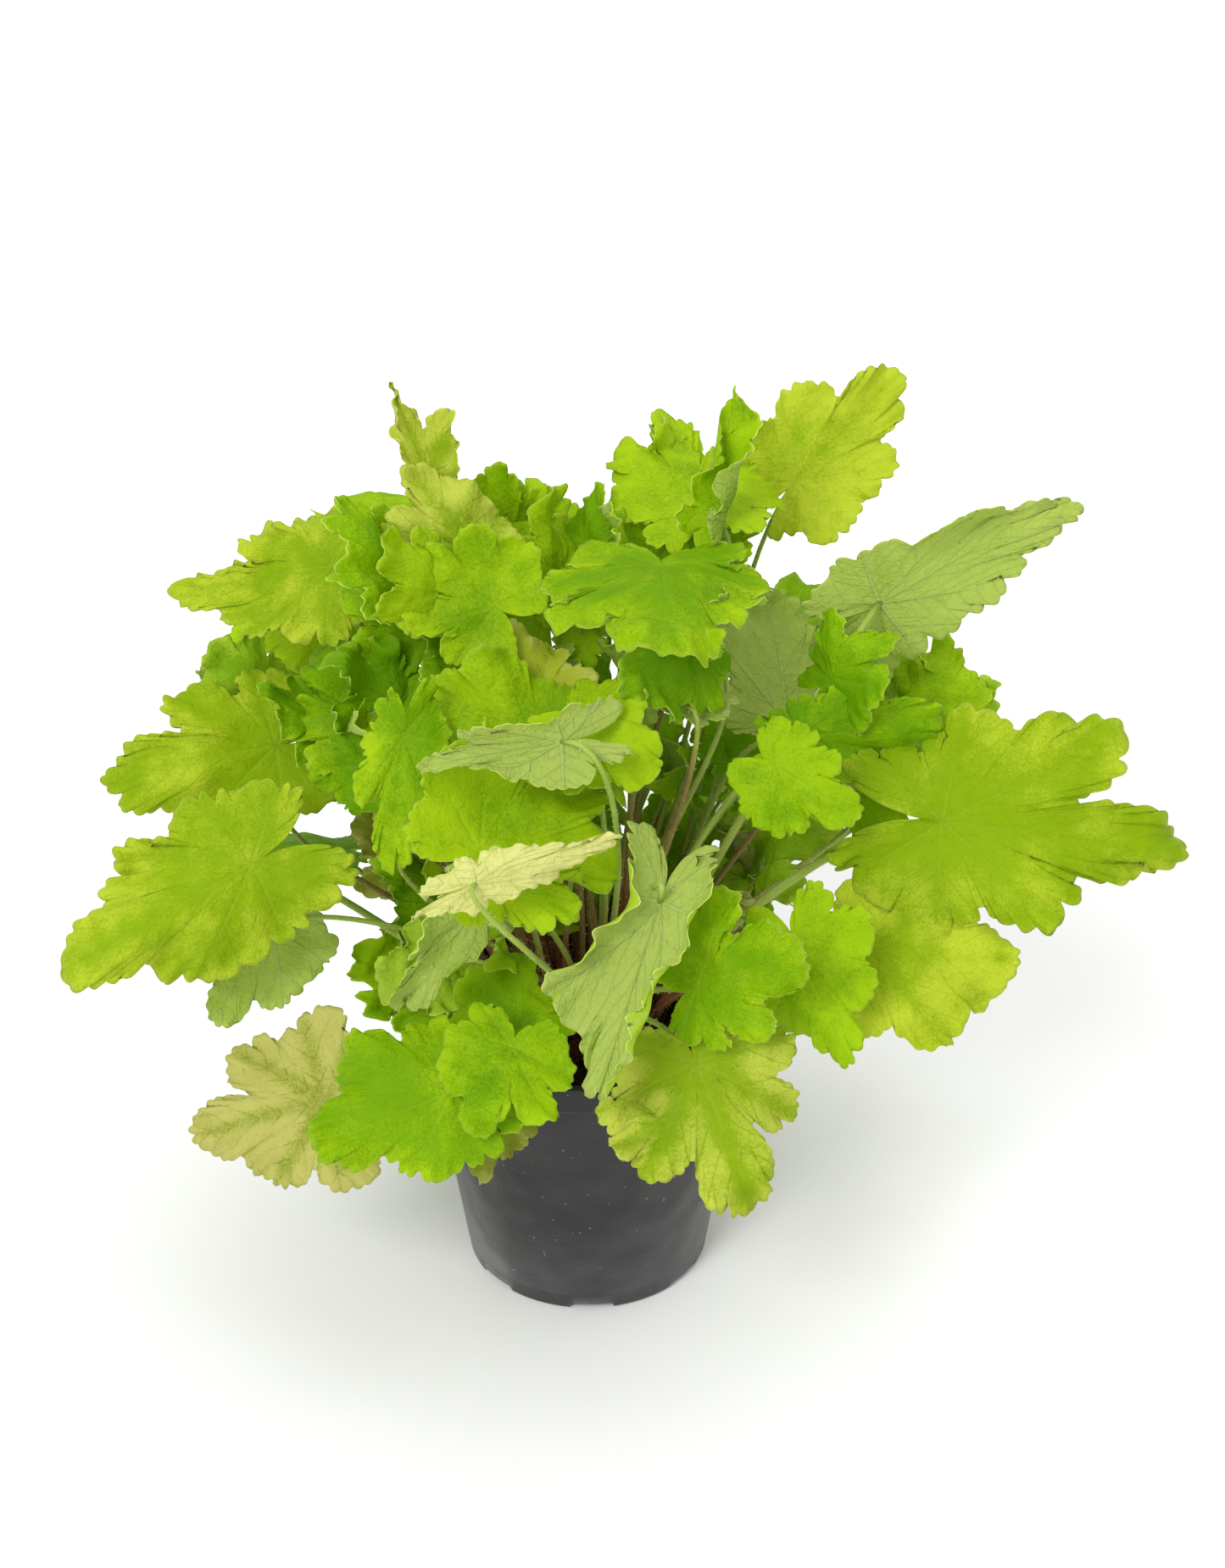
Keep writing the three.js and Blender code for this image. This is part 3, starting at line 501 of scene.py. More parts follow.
# The gap behind the blade, where the stalk meets it: its reach in blade lengths and besides in millimetres.
SINUS_REACH = 0.04
SINUS_GAP = 2.0
SEED_STEP = 11
BLADE_SKEW = 0.16
CUP_WIDTH = 0.8
OUTLINE_STEPS = 2880
# Teeth along the edge: their width in blade lengths and at least in millimetres, how far they stand out,
# how deep the clefts between them are, in general and at a notch, how much deeper those between a lobe's
# three parts are and how far these stray. A deep cleft opens wider than one tooth.
TOOTH_WIDTH = 0.085
TOOTH_LEAST = 4.4
TEETH_LEAST = 5
TOOTH_HEIGHT = 0.7
CLEFT_DEPTH = 0.034
CLEFT_LEAST = 0.5
CLEFT_SPREAD = 0.9
NOTCH_CLEFT = 0.6
PART_CLEFT = 2.0
PART_STRAY = 0.08
DEEP_CLEFT = 2
DEEP_WIDENING = 0.35
# Teeth fade out within this many blade lengths of a notch, and end beside the stalk at this angle.
TEETH_FADE = 0.09
TEETH_END = 168
# Heights in blade lengths: lobes that droop more often than they lift, the middle one half as far; back
# lobes that stand up round the stalk; edges that rise beside a notch or pass over each other there; the
# blade's billows and crinkles with the spans of their wavelengths, the frill and its finer wave, and the
# swelling between veins. BACK_START, BACK_SPAN and LIFT_SPAN are degrees, and a lap is LAP_SPAN times as
# broad.
LOBE_DROOP = 0.38
DROOP_LEAN = 1.15
MIDDLE_DROOP = 0.5
BACK_RISE = (0.15, 0.75)
BACK_START = 60
BACK_SPAN = 110
NOTCH_LIFT = 0.05
NOTCH_SINK = 0.8
NOTCH_LAP = 0.05
LIFT_SPAN = 12
LAP_SPAN = 1.5
EDGE_LIFT = 1.1
BILLOW = 0.13
BILLOW_WAVES = (0.45, 1.0)
CRINKLE = 0.06
CRINKLE_WAVES = (0.2, 0.38)
SWELL_COUNT = 5
FRILL = 0.026
FRILL_WAVE = 0.27
FINE_FRILL = 0.014
RUFFLE_WAVES = 3
# How much of its waves a blade keeps beside the stalk.
WAVES_KEPT = 0.3
QUILT = 0.008
# How many degrees from a main vein the swelling is highest, by the angle from the tip.
HALFWAY = ((0, 23, 66, 108, 158, 180), (22.5, 22, 21, 20.5, 30, 52))
VEIN_WIDTH = 1.3
VEIN_TAPER = (1.15, 0.8)
VEIN_SUNK = 0.12
VEIN_RAISED = 0.25
BLADE_HALF = 0.35
EDGE_HALF = 0.14
# The stalk: the dome that its foot is sunk in, how far it splays, its radius at the foot and what it loses
# on its way up, its size beside that of a blade of a full length, and how much of its length curves in to
# the blade.
DOME_TOP = 118
DOME_DROP = 0.010
FOOT_DEPTH = 6.5
STALK_SPLAY = 0.02
STALK_FOOT_RADIUS = 1.8
STALK_TAPER = 0.7
STALK_SIZES = (0.75, 1.15)
FULL_LENGTH = 75
STALK_SINK = 0.6
STALK_STEPS = 18
STALK_SIDES = 10
ARRIVAL_LENGTH = 0.28
# The blade's net: rays this far apart along the edge, and rings as shares of the way out, with points on
# every fourth, every second and every ray.
RAY_SPACING = 1.05
RAY_STRIDES = (4, 2, 1)
RINGS = ((0.05, 0.11, 0.18), (0.26, 0.35, 0.44, 0.53, 0.61, 0.69), (0.76, 0.83, 0.89, 0.95, 1.0))

# A row for each leaf, in millimetres and degrees: where its stalk stands on the crown, where the blade
# begins, where its middle lobe ends, how far it is rolled about its length, and its tone. Then, up to
# where the rest is a plain leaf's: its width over its length, how far it curls back along its length, how
# far its sides bend down, how much it is ruffled, the share of its length that the stalk sets off upwards
# for, how far it sways aside and the angle at which it meets the blade.
LEAVES = (
    # Right, from the top down.
    ((16, 16.5), (80, 80, 297), (120, 95, 336), -53, "lime", 0.75, 10, -37, 0.03, 0.18, 22, 35),
    ((7, 9), (40, 42, 302), (32, 85, 321), 7, "bright", 1.05, 20, 19, 0.06, 0.74, -3),
    ((11.5, 7), (49, 25, 303), (54, 37, 341), 18, "mid", 0.55, 10, -130, 0.08, 0.15, -13),
    ((19.5, 2), (107, 14, 275), (177, 13, 314), 89, "pale", 0.42, 20, 30, 0.04, 0.39, 5, 47),
    ((14.5, 1), (75, 5, 231), (111, 35, 259), 129, "pale", 1.25, 30, 30, 0.03, 0.34, -28, 37),
    ((6.5, -8.5), (34, -31, 255), (37, -16, 265), 142, "pale", 1.7, 40, 49, 0.03, 0.34, -12, 51),
    ((24.5, 2.5), (125, 12, 218), (136, 45, 244), -10, "bright", 0.85, 30, 20, 0.08),
    ((15.5, -4), (78, -20, 238), (128, -15, 242), -69, "mid", 0.55, 30, 10, 0.06, 0.64, -43, 36),
    ((11.5, -8), (67, -40, 236), (95, -60, 226), -53, "mid", 0.9, 20, 20, 0.04),
    ((23.5, -6.5), (128, -35, 211), (217, -50, 206), -62, "lime", 0.66, 25, 25, 0.06),
    ((19.5, -12.5), (100, -57, 171), (152, -64, 170), -48, "lime", 0.82, 25, -33, 0.06, 0.33, -23, 80),
    ((16.5, -9), (74, -75, 184), (92, -95, 148), -45, "mid", 0.9, 25, 21, 0.06, 0.8, 41, 58),
    ((9.5, -18), (39, -94, 178), (73, -107, 202), -59, "bright", 0.85),
    ((6.5, -22), (39, -100, 151), (58, -128, 110), -27, "yellow", 1, 35),
    # Middle, from the front leaf that shows its underside up to the top.
    ((4.5, -17.5), (26, -95, 213), (4, -128, 152), -154, "pale", 0.38, -15, 100, 0.06, 0.34, 11, 58),
    ((7.5, -13.5), (36, -65, 192), (61, -58, 193), 122, "olive", 0.5, 20, 40),
    ((-9.5, -12.5), (-35, -81, 225), (4, -43, 235), -47, "bright", 1.05, 20, -28, 0.08, 0.8, 19, 60),
    ((-2, -10), (-7, -73, 262), (-56, -84, 258), -115, "pale", 0.42, 25, 70, 0.05, 0.29, -21, 54),
    ((-6.5, -8), (-15, -35, 241), (-58, -17, 254), 61, "bright", 0.8, 20),
    ((3, -11.5), (-2, -48, 258), (25, -74, 252), -37, "bright", 1, 40, 6, 0.08, 0.42, -3, 65),
    ((-2, -5), (-15, -17, 252), (-32, 5, 273), 43, "cream", 0.8, 20, 40, 0.07, 0.25, -5, 74),
    ((-8, -3), (-32, -3, 281), (-62, 8, 297), 62, "bright", 1.15, 25, -16, 0.04, 0.57, 29, 80),
    ((-3.5, 7), (-14, 35, 262), (-23, 57, 309), 10, "mid", 0.8, 20, 26, 0.05, 0.51, 14, 51),
    ((6, 4), (27, -5, 297), (31, -62, 282), -5, "bright", 1.05, 45, 23, 0.03),
    ((1, 5), (3, 18, 276), (-27, 24, 275), 67, "mid", 0.55, 20, -19, 0.07, 0.63, -20, 37),
    ((8.5, -4), (37, -26, 275), (12, -58, 280), 56, "mid", 0.8, 30, 36, 0.03, 0.8, 5, 80),
    # Left, from the top down.
    ((-17.5, 6), (-94, 38, 279), (-156, 45, 268), 38, "lime", 0.75, 20, 24, 0.12, 0.29, -28, 80),
    ((-16, 10.5), (-93, 73, 248), (-139, 95, 225), 76, "bright", 0.6, 20, 33, 0.09, 0.65, -9, 56),
    ((-15.5, 1), (-73, -2, 234), (-101, 29, 250), 38, "bright", 0.9, 20, 10, 0.04, 0.15, -9, 49),
    ((-22.5, 5), (-117, 35, 223), (-149, 36, 238), -120, "pale", 0.38, 20),
    ((-22, 0), (-115, 6, 221), (-179, -11, 214), 50, "lime", 0.7, 30, 20, 0.07),
    ((-23, -8.5), (-119, -42, 198), (-185, -62, 166), 62, "lime", 0.72, 25, 30, 0.06, 0.15, -17, 64),
    ((-19.5, -4.5), (-117, -25, 161), (-138, -35, 127), -120, "pale", 0.9, 15),
    ((-14.5, -4), (-74, -20, 226), (-99, -11, 220), 64, "mid", 1, 20, 2, 0.09),
    ((-12.5, -8.5), (-63, -40, 248), (-69, -60, 204), 20, "bright", 0.5, 35, 20, 0.1),
    # Low in front, over the rim.
    ((-12.5, -20.5), (-45, -106, 144), (-93, -121, 130), 50, "bright", 0.85),
    ((0, -15.5), (-25, -100, 158), (-37, -125, 139), 21, "mid", 1.1, 25, 20, 0.05, 0.29, -10, 80),
    ((-5, -14), (-23, -78, 152), (-24, -51, 164), 1, "mid", 1.2, 25, 3, 0.06),
    ((-17.5, -11), (-95, -62, 109), (-147, -68, 97), 55, "olive", 0.95, 15, 15),
    ((-4, -19), (-30, -83, 124), (-41, -89, 93), 35, "olive", 0.75),
    ((-8.5, -17.5), (-35, -76, 202), (-63, -98, 171), -123, "pale", 0.5, 20, 67, 0.03, 0.65, 3, 35),
    ((-7.5, -22.5), (-35, -113, 230), (14, -100, 242), 116, "cream", 0.26, 50, 20, 0.05, 0.15, -45),
    # High at the back of the left side.
    ((-11.5, 13), (-56, 44, 308), (-70, 47, 346), 66, "yellow", 0.5, -20, -142, 0.06, 0.15, -28, 79),
    ((-11.5, 8), (-42, 22, 293), (-64, 35, 320), 40, "yellow", 0.9, 20, 23, 0.03, 0.58, -29, 54),
    ((-11, 3), (-57, 14, 263), (-89, 23, 278), 45, "bright", 0.9, 20, 20, 0.07, 0.8, -45, 51),
    ((6, 14), (24, 56, 264), (10, 98, 283), 24, "mid", 0.9, 20, 10, 0.03, 0.77, 29, 67),
    # Back, in three tiers.
    ((-10, 18), (-58, 89, 165), (-100, 151, 139), -1, "bright", 0.95),
    ((1.5, 19), (2, 100, 160), (8, 172, 128), 5, "lime", 0.95),
    ((11.5, 17), (58, 95, 152), (100, 153, 130), 14, "bright", 0.95, 25, 20, 0.05, 0.41, -7, 41),
    ((-15, 16.5), (-70, 88, 219), (-118, 141, 207), -8, "lime", 0.95, 25, 20, 0.05, 0.43, 4, 46),
    ((-3.5, 18.5), (-13, 99, 233), (-21, 161, 220), 0, "bright", 0.95),
    ((7.5, 20), (48, 101, 215), (78, 161, 200), 8, "lime", 0.95, 25, 20, 0.05, 0.51, -10, 42),
    ((-21, 9.5), (-100, 52, 152), (-156, 89, 132), -10, "mid", 0.95),
    ((-7, 12.5), (-62, 80, 271), (-92, 148, 265), -10, "bright", 0.9, 25, 24, 0.09, 0.8, 4, 36),
    ((1, 13.5), (-3, 76, 252), (3, 144, 255), 12, "lime", 0.9, 25, 21, 0.03, 0.3, 11, 35),
    ((11, 12), (66, 81, 226), (100, 139, 216), -1, "bright", 0.85, 25, 30, 0.06, 0.67, 37, 35),
    ((17.5, 11.5), (90, 67, 196), (140, 117, 178), 8, "mid", 0.9, 25, 18, 0.03, 0.54, 4, 47),
)
# What some leaves have besides, by number: point draws out or blunts the middle lobe's end, wavy scales the
# blade's waves, and tint takes its colour from deep at 0 to pale at 1, in place of a drawn tint.
BESIDES = {
    2: {"tint": 0.8}, 3: {"point": 0.2}, 4: {"wavy": 0.45, "tint": 1.0}, 5: {"tint": 1.2},
    7: {"tint": 0.45}, 10: {"point": 0.03}, 15: {"point": -0.1, "tint": 1.2},
    18: {"wavy": 0.5, "tint": 1.4}, 23: {"tint": 1.3}, 31: {"tint": 0.2}, 36: {"tint": 0.2},
    37: {"tint": 0.6}, 39: {"tint": 1.0}, 41: {"tint": 0.9}, 42: {"tint": 1.1},
    43: {"point": 0.2, "tint": 1.0},
}


def seeded(seed):
    """A function that gives numbers from 0 to 1, the same ones for the same seed."""
    state = seed

    def following():
        nonlocal state
        state = (state * 1664525 + 1013904223) % 4294967296
        return state / 4294967296

    for _ in range(3):
        following()
    return following


def unit(vector):
    return vector / np.linalg.norm(vector)


class Leaf:
    """A leaf's proportions and its frame: the blade's ahead, aside and above where it meets the stalk."""

    def __init__(self, index, foot, base, tip, roll, tone, spread=0.9, curl=25, cup=20, ruffle=0.05,
                 rise=0.45, sway=0, arrive=45, point=0, wavy=1.0, tint=None):
        self.foot, self.spread, self.ruffle, self.point = foot, spread, ruffle, point
        self.rise, self.sway, self.tone, self.wavy = rise, sway, tone, wavy
        self.base = np.array(base, float)
        chord = np.array(tip) - self.base
        along = unit(chord)
        up = unit(np.array((0, 0, 1)) - along[2] * along)
        left = np.cross(up, along)
        turn = math.radians(roll)
        raised = up * math.cos(turn) + left * math.sin(turn)
        self.aside = left * math.cos(turn) - up * math.sin(turn)
        half = math.radians(curl) / 2
        self.length = np.linalg.norm(chord) * half / math.sin(half)
        self.ahead = along * math.cos(half) + raised * math.sin(half)
        self.above = raised * math.cos(half) - along * math.sin(half)
        self.bend = 2 * half / self.length
        self.fold = math.radians(cup) / (self.length * CUP_WIDTH * spread)
        self.arrive = math.radians(arrive)
        random = seeded(SEED_STEP * (index + 1))
        self.phase = random() * 2 * math.pi
        self.skew = (random() - 0.5) * BLADE_SKEW
        self.lobe_size = [1 + (random() - 0.5) * LOBE_VARIATION for _ in range(LOBE_COUNT)]
        self.notch_size = [1 + (random() - 0.5) * NOTCH_VARIATION for _ in range(LOBE_COUNT + 1)]
        self.swerve = [(random() - 0.5) * LOBE_SWERVE for _ in range(2)]
        drawn = random()
        self.tint = drawn if tint is None else tint
        self.redness = random()
        self.random = random

    def reach(self, angle):
        """The outline's reach in blade lengths, angle degrees from the tip, before its scallops."""
        turn = np.radians(angle)
        angle = angle + self.swerve[0] * np.sin(turn) + self.swerve[1] * np.sin(2 * turn)
        across = np.abs(angle)
        start = -NOTCHES[0][0]
        notches = [reach * np.where(angle > 0, self.notch_size[i], self.notch_size[-1 - i])
                   for i, (_, reach) in enumerate(NOTCHES)]
        outline = np.zeros_like(across)
        for i, ((middle, size), (end, _)) in enumerate(zip(LOBES, NOTCHES)):
            inside = (across <= end) & (across > start)
            lobe = np.where(angle > 0, self.lobe_size[i], self.lobe_size[-i]) * size if i else size
            outer = across >= middle
            off = np.where(outer, (across - middle) / (end - middle), (middle - across) / (middle - start))
            notch = np.where(outer, notches[i], notches[max(i - 1, 0)])
            curve = notch + (lobe - notch) * np.sqrt(np.clip(1 - (off / NOTCH_OPEN) ** 2, 0, None))
            if i == 0:
                curve = curve + self.point * np.clip(1 - POINT_WIDTH * off, 0, None) ** POINT_POWER
            outline = np.where(inside, curve, outline)
            start = end
        back = (across - start) / (180 - start)
        sinus = notches[-1] + (SINUS_REACH + SINUS_GAP / self.length - notches[-1]) * back
        return np.where(across > start, sinus, outline)

    def lay_out(self):
        """Spaces rays evenly along the blade's edge and works out its scallops and waves there."""
        fine = np.linspace(-180, 180, OUTLINE_STEPS + 1)
        turn = np.radians(fine)
        out = self.reach(fine) * self.length * (1 + self.skew * np.sin(turn))
        x, y = out * np.cos(turn), out * np.sin(turn) * self.spread
        walked = np.concatenate(([0], np.cumsum(np.hypot(np.diff(x), np.diff(y)))))
        rays = RAY_STRIDES[0] * round(walked[-1] / RAY_SPACING / RAY_STRIDES[0])
        even = np.linspace(0, walked[-1], rays, endpoint=False)
        self.angles = np.interp(even, walked, fine)
        along_x, along_y = np.gradient(x, walked), np.gradient(y, walked)
        self.out_x = np.interp(even, walked, along_y)
        self.out_y = -np.interp(even, walked, along_x) / self.spread
        ends = [sign * notch for sign in (-1, 1) for notch, _ in NOTCHES]
        notches = np.interp(sorted(ends), fine, walked)
        cut, count = np.zeros(rays), np.zeros(rays)
        counted = 0
        for start, end in zip(notches, notches[1:]):
            teeth = max(TEETH_LEAST, round((end - start) / max(TOOTH_LEAST, TOOTH_WIDTH * self.length)))
            depths = [CLEFT_LEAST + CLEFT_SPREAD * self.random() for _ in range(teeth + 1)]
            for third in (1, 2):
                stray = third / 3 + PART_STRAY * self.random() - PART_STRAY / 2
                depths[round(teeth * stray)] *= PART_CLEFT
            depths[0] = depths[-1] = NOTCH_CLEFT
            depths = np.array(depths)
            place = np.clip((even - start) / (end - start), 0, 1) * teeth
            whole = np.minimum(place.astype(int), teeth - 1)
            share = place - whole
            cleft = depths[whole] * (1 - share) ** 3 + depths[whole + 1] * share**3
            for k in np.flatnonzero(depths > DEEP_CLEFT):
                cleft += DEEP_WIDENING * depths[k] * np.exp(-((place - k) ** 2))
            inside = (even >= start) & (even < end)
            cut = np.where(inside, TOOTH_HEIGHT - cleft, cut)
            count = np.where(inside, counted + place, count)
            counted += teeth
        nearest = np.min([np.abs(even - notch) for notch in notches], axis=0) / self.length
        self.cut = self.length * CLEFT_DEPTH * cut * np.clip(nearest / TEETH_FADE, 0, 1)
        self.cut = np.where(np.abs(self.angles) > TEETH_END, 0, self.cut)
        lobes = [sign * middle for sign in (-1, 1) for middle, _ in LOBES[1:]] + [-180, 0, 180]
        bends = [2 * self.random() - DROOP_LEAN for _ in lobes]
        bends[-3:] = [0, bends[-2] * MIDDLE_DROOP, 0]
        order = np.argsort(lobes)
        between = np.interp(self.angles, np.array(lobes)[order], np.arange(len(lobes)))
        before = np.minimum(between.astype(int), len(lobes) - 2)
        onward = between - before
        bends = np.array(bends)[order]
        self.droop = bends[before] + (bends[before + 1] - bends[before]) * onward**2 * (3 - 2 * onward)
        least, most = BACK_RISE
        backward = np.clip((np.abs(self.angles) - BACK_START) / BACK_SPAN, 0, 1)
        rises = [least + (most - least) * self.random() for _ in range(2)]
        self.back = np.where(self.angles > 0, *rises) * backward**2 * (3 - 2 * backward)
        self.lift = np.zeros(rays)
        for end in ends:
            beside = (self.angles - end) / LIFT_SPAN
            self.lift += NOTCH_LIFT * (2 * self.random() - NOTCH_SINK) * np.exp(-(beside**2))
            lap = NOTCH_LAP * (2 * self.random() - 1)
            self.lift += lap * np.tanh(beside * 2) * np.exp(-((beside / LAP_SPAN) ** 2))
        # The frill is a wave with a finer one over it, and the fine frill waves with the teeth.
        beat = even / (FRILL_WAVE * self.length) * 2 * math.pi
        self.frill = np.sin(beat + self.phase) + 0.5 * np.sin(2.3 * beat + 3 * self.phase)
        self.fine_frill = np.sin(1.3 * math.pi * count + self.phase) * (0.6 + 0.4 * np.sin(beat * 0.4))

    def swells(self, x, y, shortest, longest):
        """Soft swells that run across the blade in several directions, from about -1 to 1."""
        random = seeded(round(1000 * (self.phase + shortest)))
        height = np.zeros_like(x)
        for _ in range(SWELL_COUNT):
            heading = math.pi * random()
            wave = shortest + (longest - shortest) * random()
            along = (x * math.cos(heading) + y * math.sin(heading)) / (wave * self.length)
            height += np.sin(2 * math.pi * (along + random())) * wave / longest
        return height / SWELL_COUNT**0.5

    def blade(self, ray, rho, side):
        """Points of the blade's upper (side 1) or under (side -1) face, and each one's place by its vein."""
        angle = self.angles[ray]
        turn = np.radians(angle)
        out = self.reach(angle) * rho * self.length * (1 + self.skew * np.sin(turn))
        shift = self.cut[ray] * rho**4
        x = out * np.cos(turn) + shift * self.out_x[ray]
        y = out * np.sin(turn) + shift * self.out_y[ray]
        nearest = np.min([np.abs(np.abs(angle) - middle) for middle, _ in LOBES], axis=0)
        halfway = np.interp(np.abs(angle), *HALFWAY)
        along = out * np.cos(np.radians(nearest))
        off = out * np.sin(np.radians(nearest))
        vein = np.exp(-((off / (VEIN_WIDTH * (VEIN_TAPER[0] - rho * VEIN_TAPER[1]))) ** 2)) * (1 - rho**4)
        fade = WAVES_KEPT + (1 - WAVES_KEPT) * np.cos(turn / 2) ** 2
        swell = QUILT * rho * (1 - rho**3) * np.sin(np.clip(nearest / halfway, 0, 1) * math.pi / 2) ** 2
        apart = out / self.length
        waves = (LOBE_DROOP * apart**2 * self.droop[ray] + apart * rho**4 * EDGE_LIFT * self.lift[ray]
                 + BILLOW * apart * self.swells(x, y * self.spread, *BILLOW_WAVES)
                 + CRINKLE * apart * rho * self.swells(x, y * self.spread, *CRINKLE_WAVES)
                 + FRILL * rho**7 * self.frill[ray] + FINE_FRILL * rho**12 * self.fine_frill[ray])
        wave = self.ruffle * rho**2 * np.sin(RUFFLE_WAVES * turn + self.phase) * fade
        thick = BLADE_HALF + (EDGE_HALF - BLADE_HALF) * rho**2
        height = self.length * (wave + self.wavy * waves * fade + swell + self.back[ray] * apart**1.3)
        height = height + side * thick - vein * (VEIN_SUNK if side > 0 else VEIN_RAISED)
        curl = self.fold * y * self.spread
        z = height * np.cos(curl) - (1 - np.cos(curl)) / self.fold
        across = height * np.sin(curl) + np.sin(curl) / self.fold
        bend = self.bend * x
        ahead = z * np.sin(bend) + np.sin(bend) / self.bend
        above = z * np.cos(bend) - (1 - np.cos(bend)) / self.bend
        points = self.base + np.outer(ahead, self.ahead) + np.outer(across, self.aside)
        return points + np.outer(above, self.above), np.stack((along, off), axis=1)

    def stalk(self):
        """Rings of points from the blade down to the foot, and each ring's share of the way up."""
        x, y = self.foot
        foot = np.array((x, y, DOME_TOP - DOME_DROP * (x * x + y * y) - FOOT_DEPTH))
        out = unit(np.array((x * STALK_SPLAY, y * STALK_SPLAY, 1)))
        end = self.base - self.above * BLADE_HALF * STALK_SINK
        arrive = self.ahead * math.cos(self.arrive) + self.above * math.sin(self.arrive)
        distance = np.linalg.norm(end - foot)
        across = unit(np.array((end[1] - foot[1], foot[0] - end[0], 0)))
        leaving = foot + out * distance * self.rise + across * self.sway
        arriving = end - arrive * distance * ARRIVAL_LENGTH
        size = min(STALK_SIZES[1], max(STALK_SIZES[0], self.length / FULL_LENGTH))
        turns = np.arange(STALK_SIDES) * 2 * math.pi / STALK_SIDES - math.pi / 2
        rings = []
        shares = [1 - i / STALK_STEPS for i in range(STALK_STEPS + 1)]
        side = self.aside
        # A cubic curve from the foot to the blade, q of the way up.
        for q in shares:
            p = 1 - q
            centre = p**3 * foot + 3 * p * p * q * leaving + 3 * p * q * q * arriving + q**3 * end
            onward = p * p * (leaving - foot) + 2 * p * q * (arriving - leaving) + q * q * (end - arriving)
            tangent = unit(onward)
            radius = (STALK_FOOT_RADIUS - STALK_TAPER * q) * size
            side = unit(side - tangent * (side @ tangent))
            other = np.cross(tangent, side) if q < 1 else -self.ahead / math.sin(self.arrive)
            rings.append(centre + radius * (np.outer(np.cos(turns), side) + np.outer(np.sin(turns), other)))
        return rings, shares


def tube_faces(ring_count, sides, first):
    """Faces of a closed tube through rings that run downwards, its first point at index first."""
    faces = []
    for i in range(ring_count - 1):
        high = first + i * sides
        low = high + sides
        faces += [(low + k, low + (k + 1) % sides, high + (k + 1) % sides, high + k) for k in range(sides)]
    last = first + (ring_count - 1) * sides
    faces.append(tuple(range(first, first + sides)))
    faces.append(tuple(reversed(range(last, last + sides))))
    return faces


def blade_net(rays):
    """The blade's net of rings and rays: each point's ray and share of the way out, the faces and rim."""
    ray, shares, starts, counts = [0], [0.0], [], []
    for stride, rings in zip(RAY_STRIDES, RINGS):
        count = rays // stride
        for share in rings:
            starts.append(len(ray))
            counts.append(count)
            ray += [stride * k for k in range(count)]
            shares += [share] * count
    faces = [(0, 1 + k, 1 + (k + 1) % counts[0]) for k in range(counts[0])]
    for i in range(len(starts) - 1):
        inner, outer, count = starts[i], starts[i + 1], counts[i]
        for k in range(count):
            a, b = inner + k, inner + (k + 1) % count
            if counts[i + 1] == count:
                faces.append((a, outer + k, outer + (k + 1) % count, b))
            else:
                left, between, right = outer + 2 * k, outer + 2 * k + 1, outer + (2 * k + 2) % (2 * count)
                faces += [(a, left, between), (a, between, b), (b, between, right)]
    rim = range(starts[-1], starts[-1] + counts[-1])
    return np.array(ray), np.array(shares), faces, rim


def leaf_mesh(name, leaf, finishes):
    """One leaf's mesh: upper face, under face, edge and stalk, in that order of materials."""
    leaf.lay_out()
    ray, shares, net, rim = blade_net(len(leaf.angles))
    upper, veins = leaf.blade(ray, shares, 1)
    under, _ = leaf.blade(ray, shares, -1)
    rings, up_stalk = leaf.stalk()
    count = len(upper)
    points = np.concatenate((upper, under, *rings)) * MM
    faces = list(net)
    faces += [tuple(count + i for i in reversed(face)) for face in net]
    edge = [(i, i + count, j + count, j) for i, j in zip(rim, [*rim[1:], rim[0]])]
    tube = tube_faces(len(rings), STALK_SIDES, 2 * count)
    mesh = bpy.data.meshes.new(name)
    mesh.from_pydata(points.tolist(), [], faces + edge + tube)
    kinds = [0] * len(net) + [1] * len(net) + [2] * len(edge) + [3] * len(tube)
    for material in finishes:
        mesh.materials.append(material)
    mesh.polygons.foreach_set("material_index", kinds)
    mesh.polygons.foreach_set("use_smooth", [kind != 2 for kind in kinds])
    stalk_shares = np.repeat(up_stalk, STALK_SIDES)
    stalk_places = np.stack((stalk_shares * leaf.length, np.zeros_like(stalk_shares)), axis=1)
    places = np.concatenate((veins, veins, stalk_places)) * MM
    corners = np.zeros(len(mesh.loops), int)
    mesh.loops.foreach_get("vertex_index", corners)
    mesh.uv_layers.new(name="veins").data.foreach_set("uv", places[corners].astype(np.float32).ravel())
    outward = np.concatenate((shares, shares, stalk_shares))
    for label, values in (("outward", outward), ("tint", np.full(len(points), leaf.tint)),
                          ("redness", np.full(len(points), leaf.redness))):
        mesh.attributes.new(label, "FLOAT", "POINT").data.foreach_set("value", values.astype(np.float32))
    return mesh


def attribute(graph, label):
    return graph.node("ShaderNodeAttribute", {"attribute_name": label}, {}, "Fac")


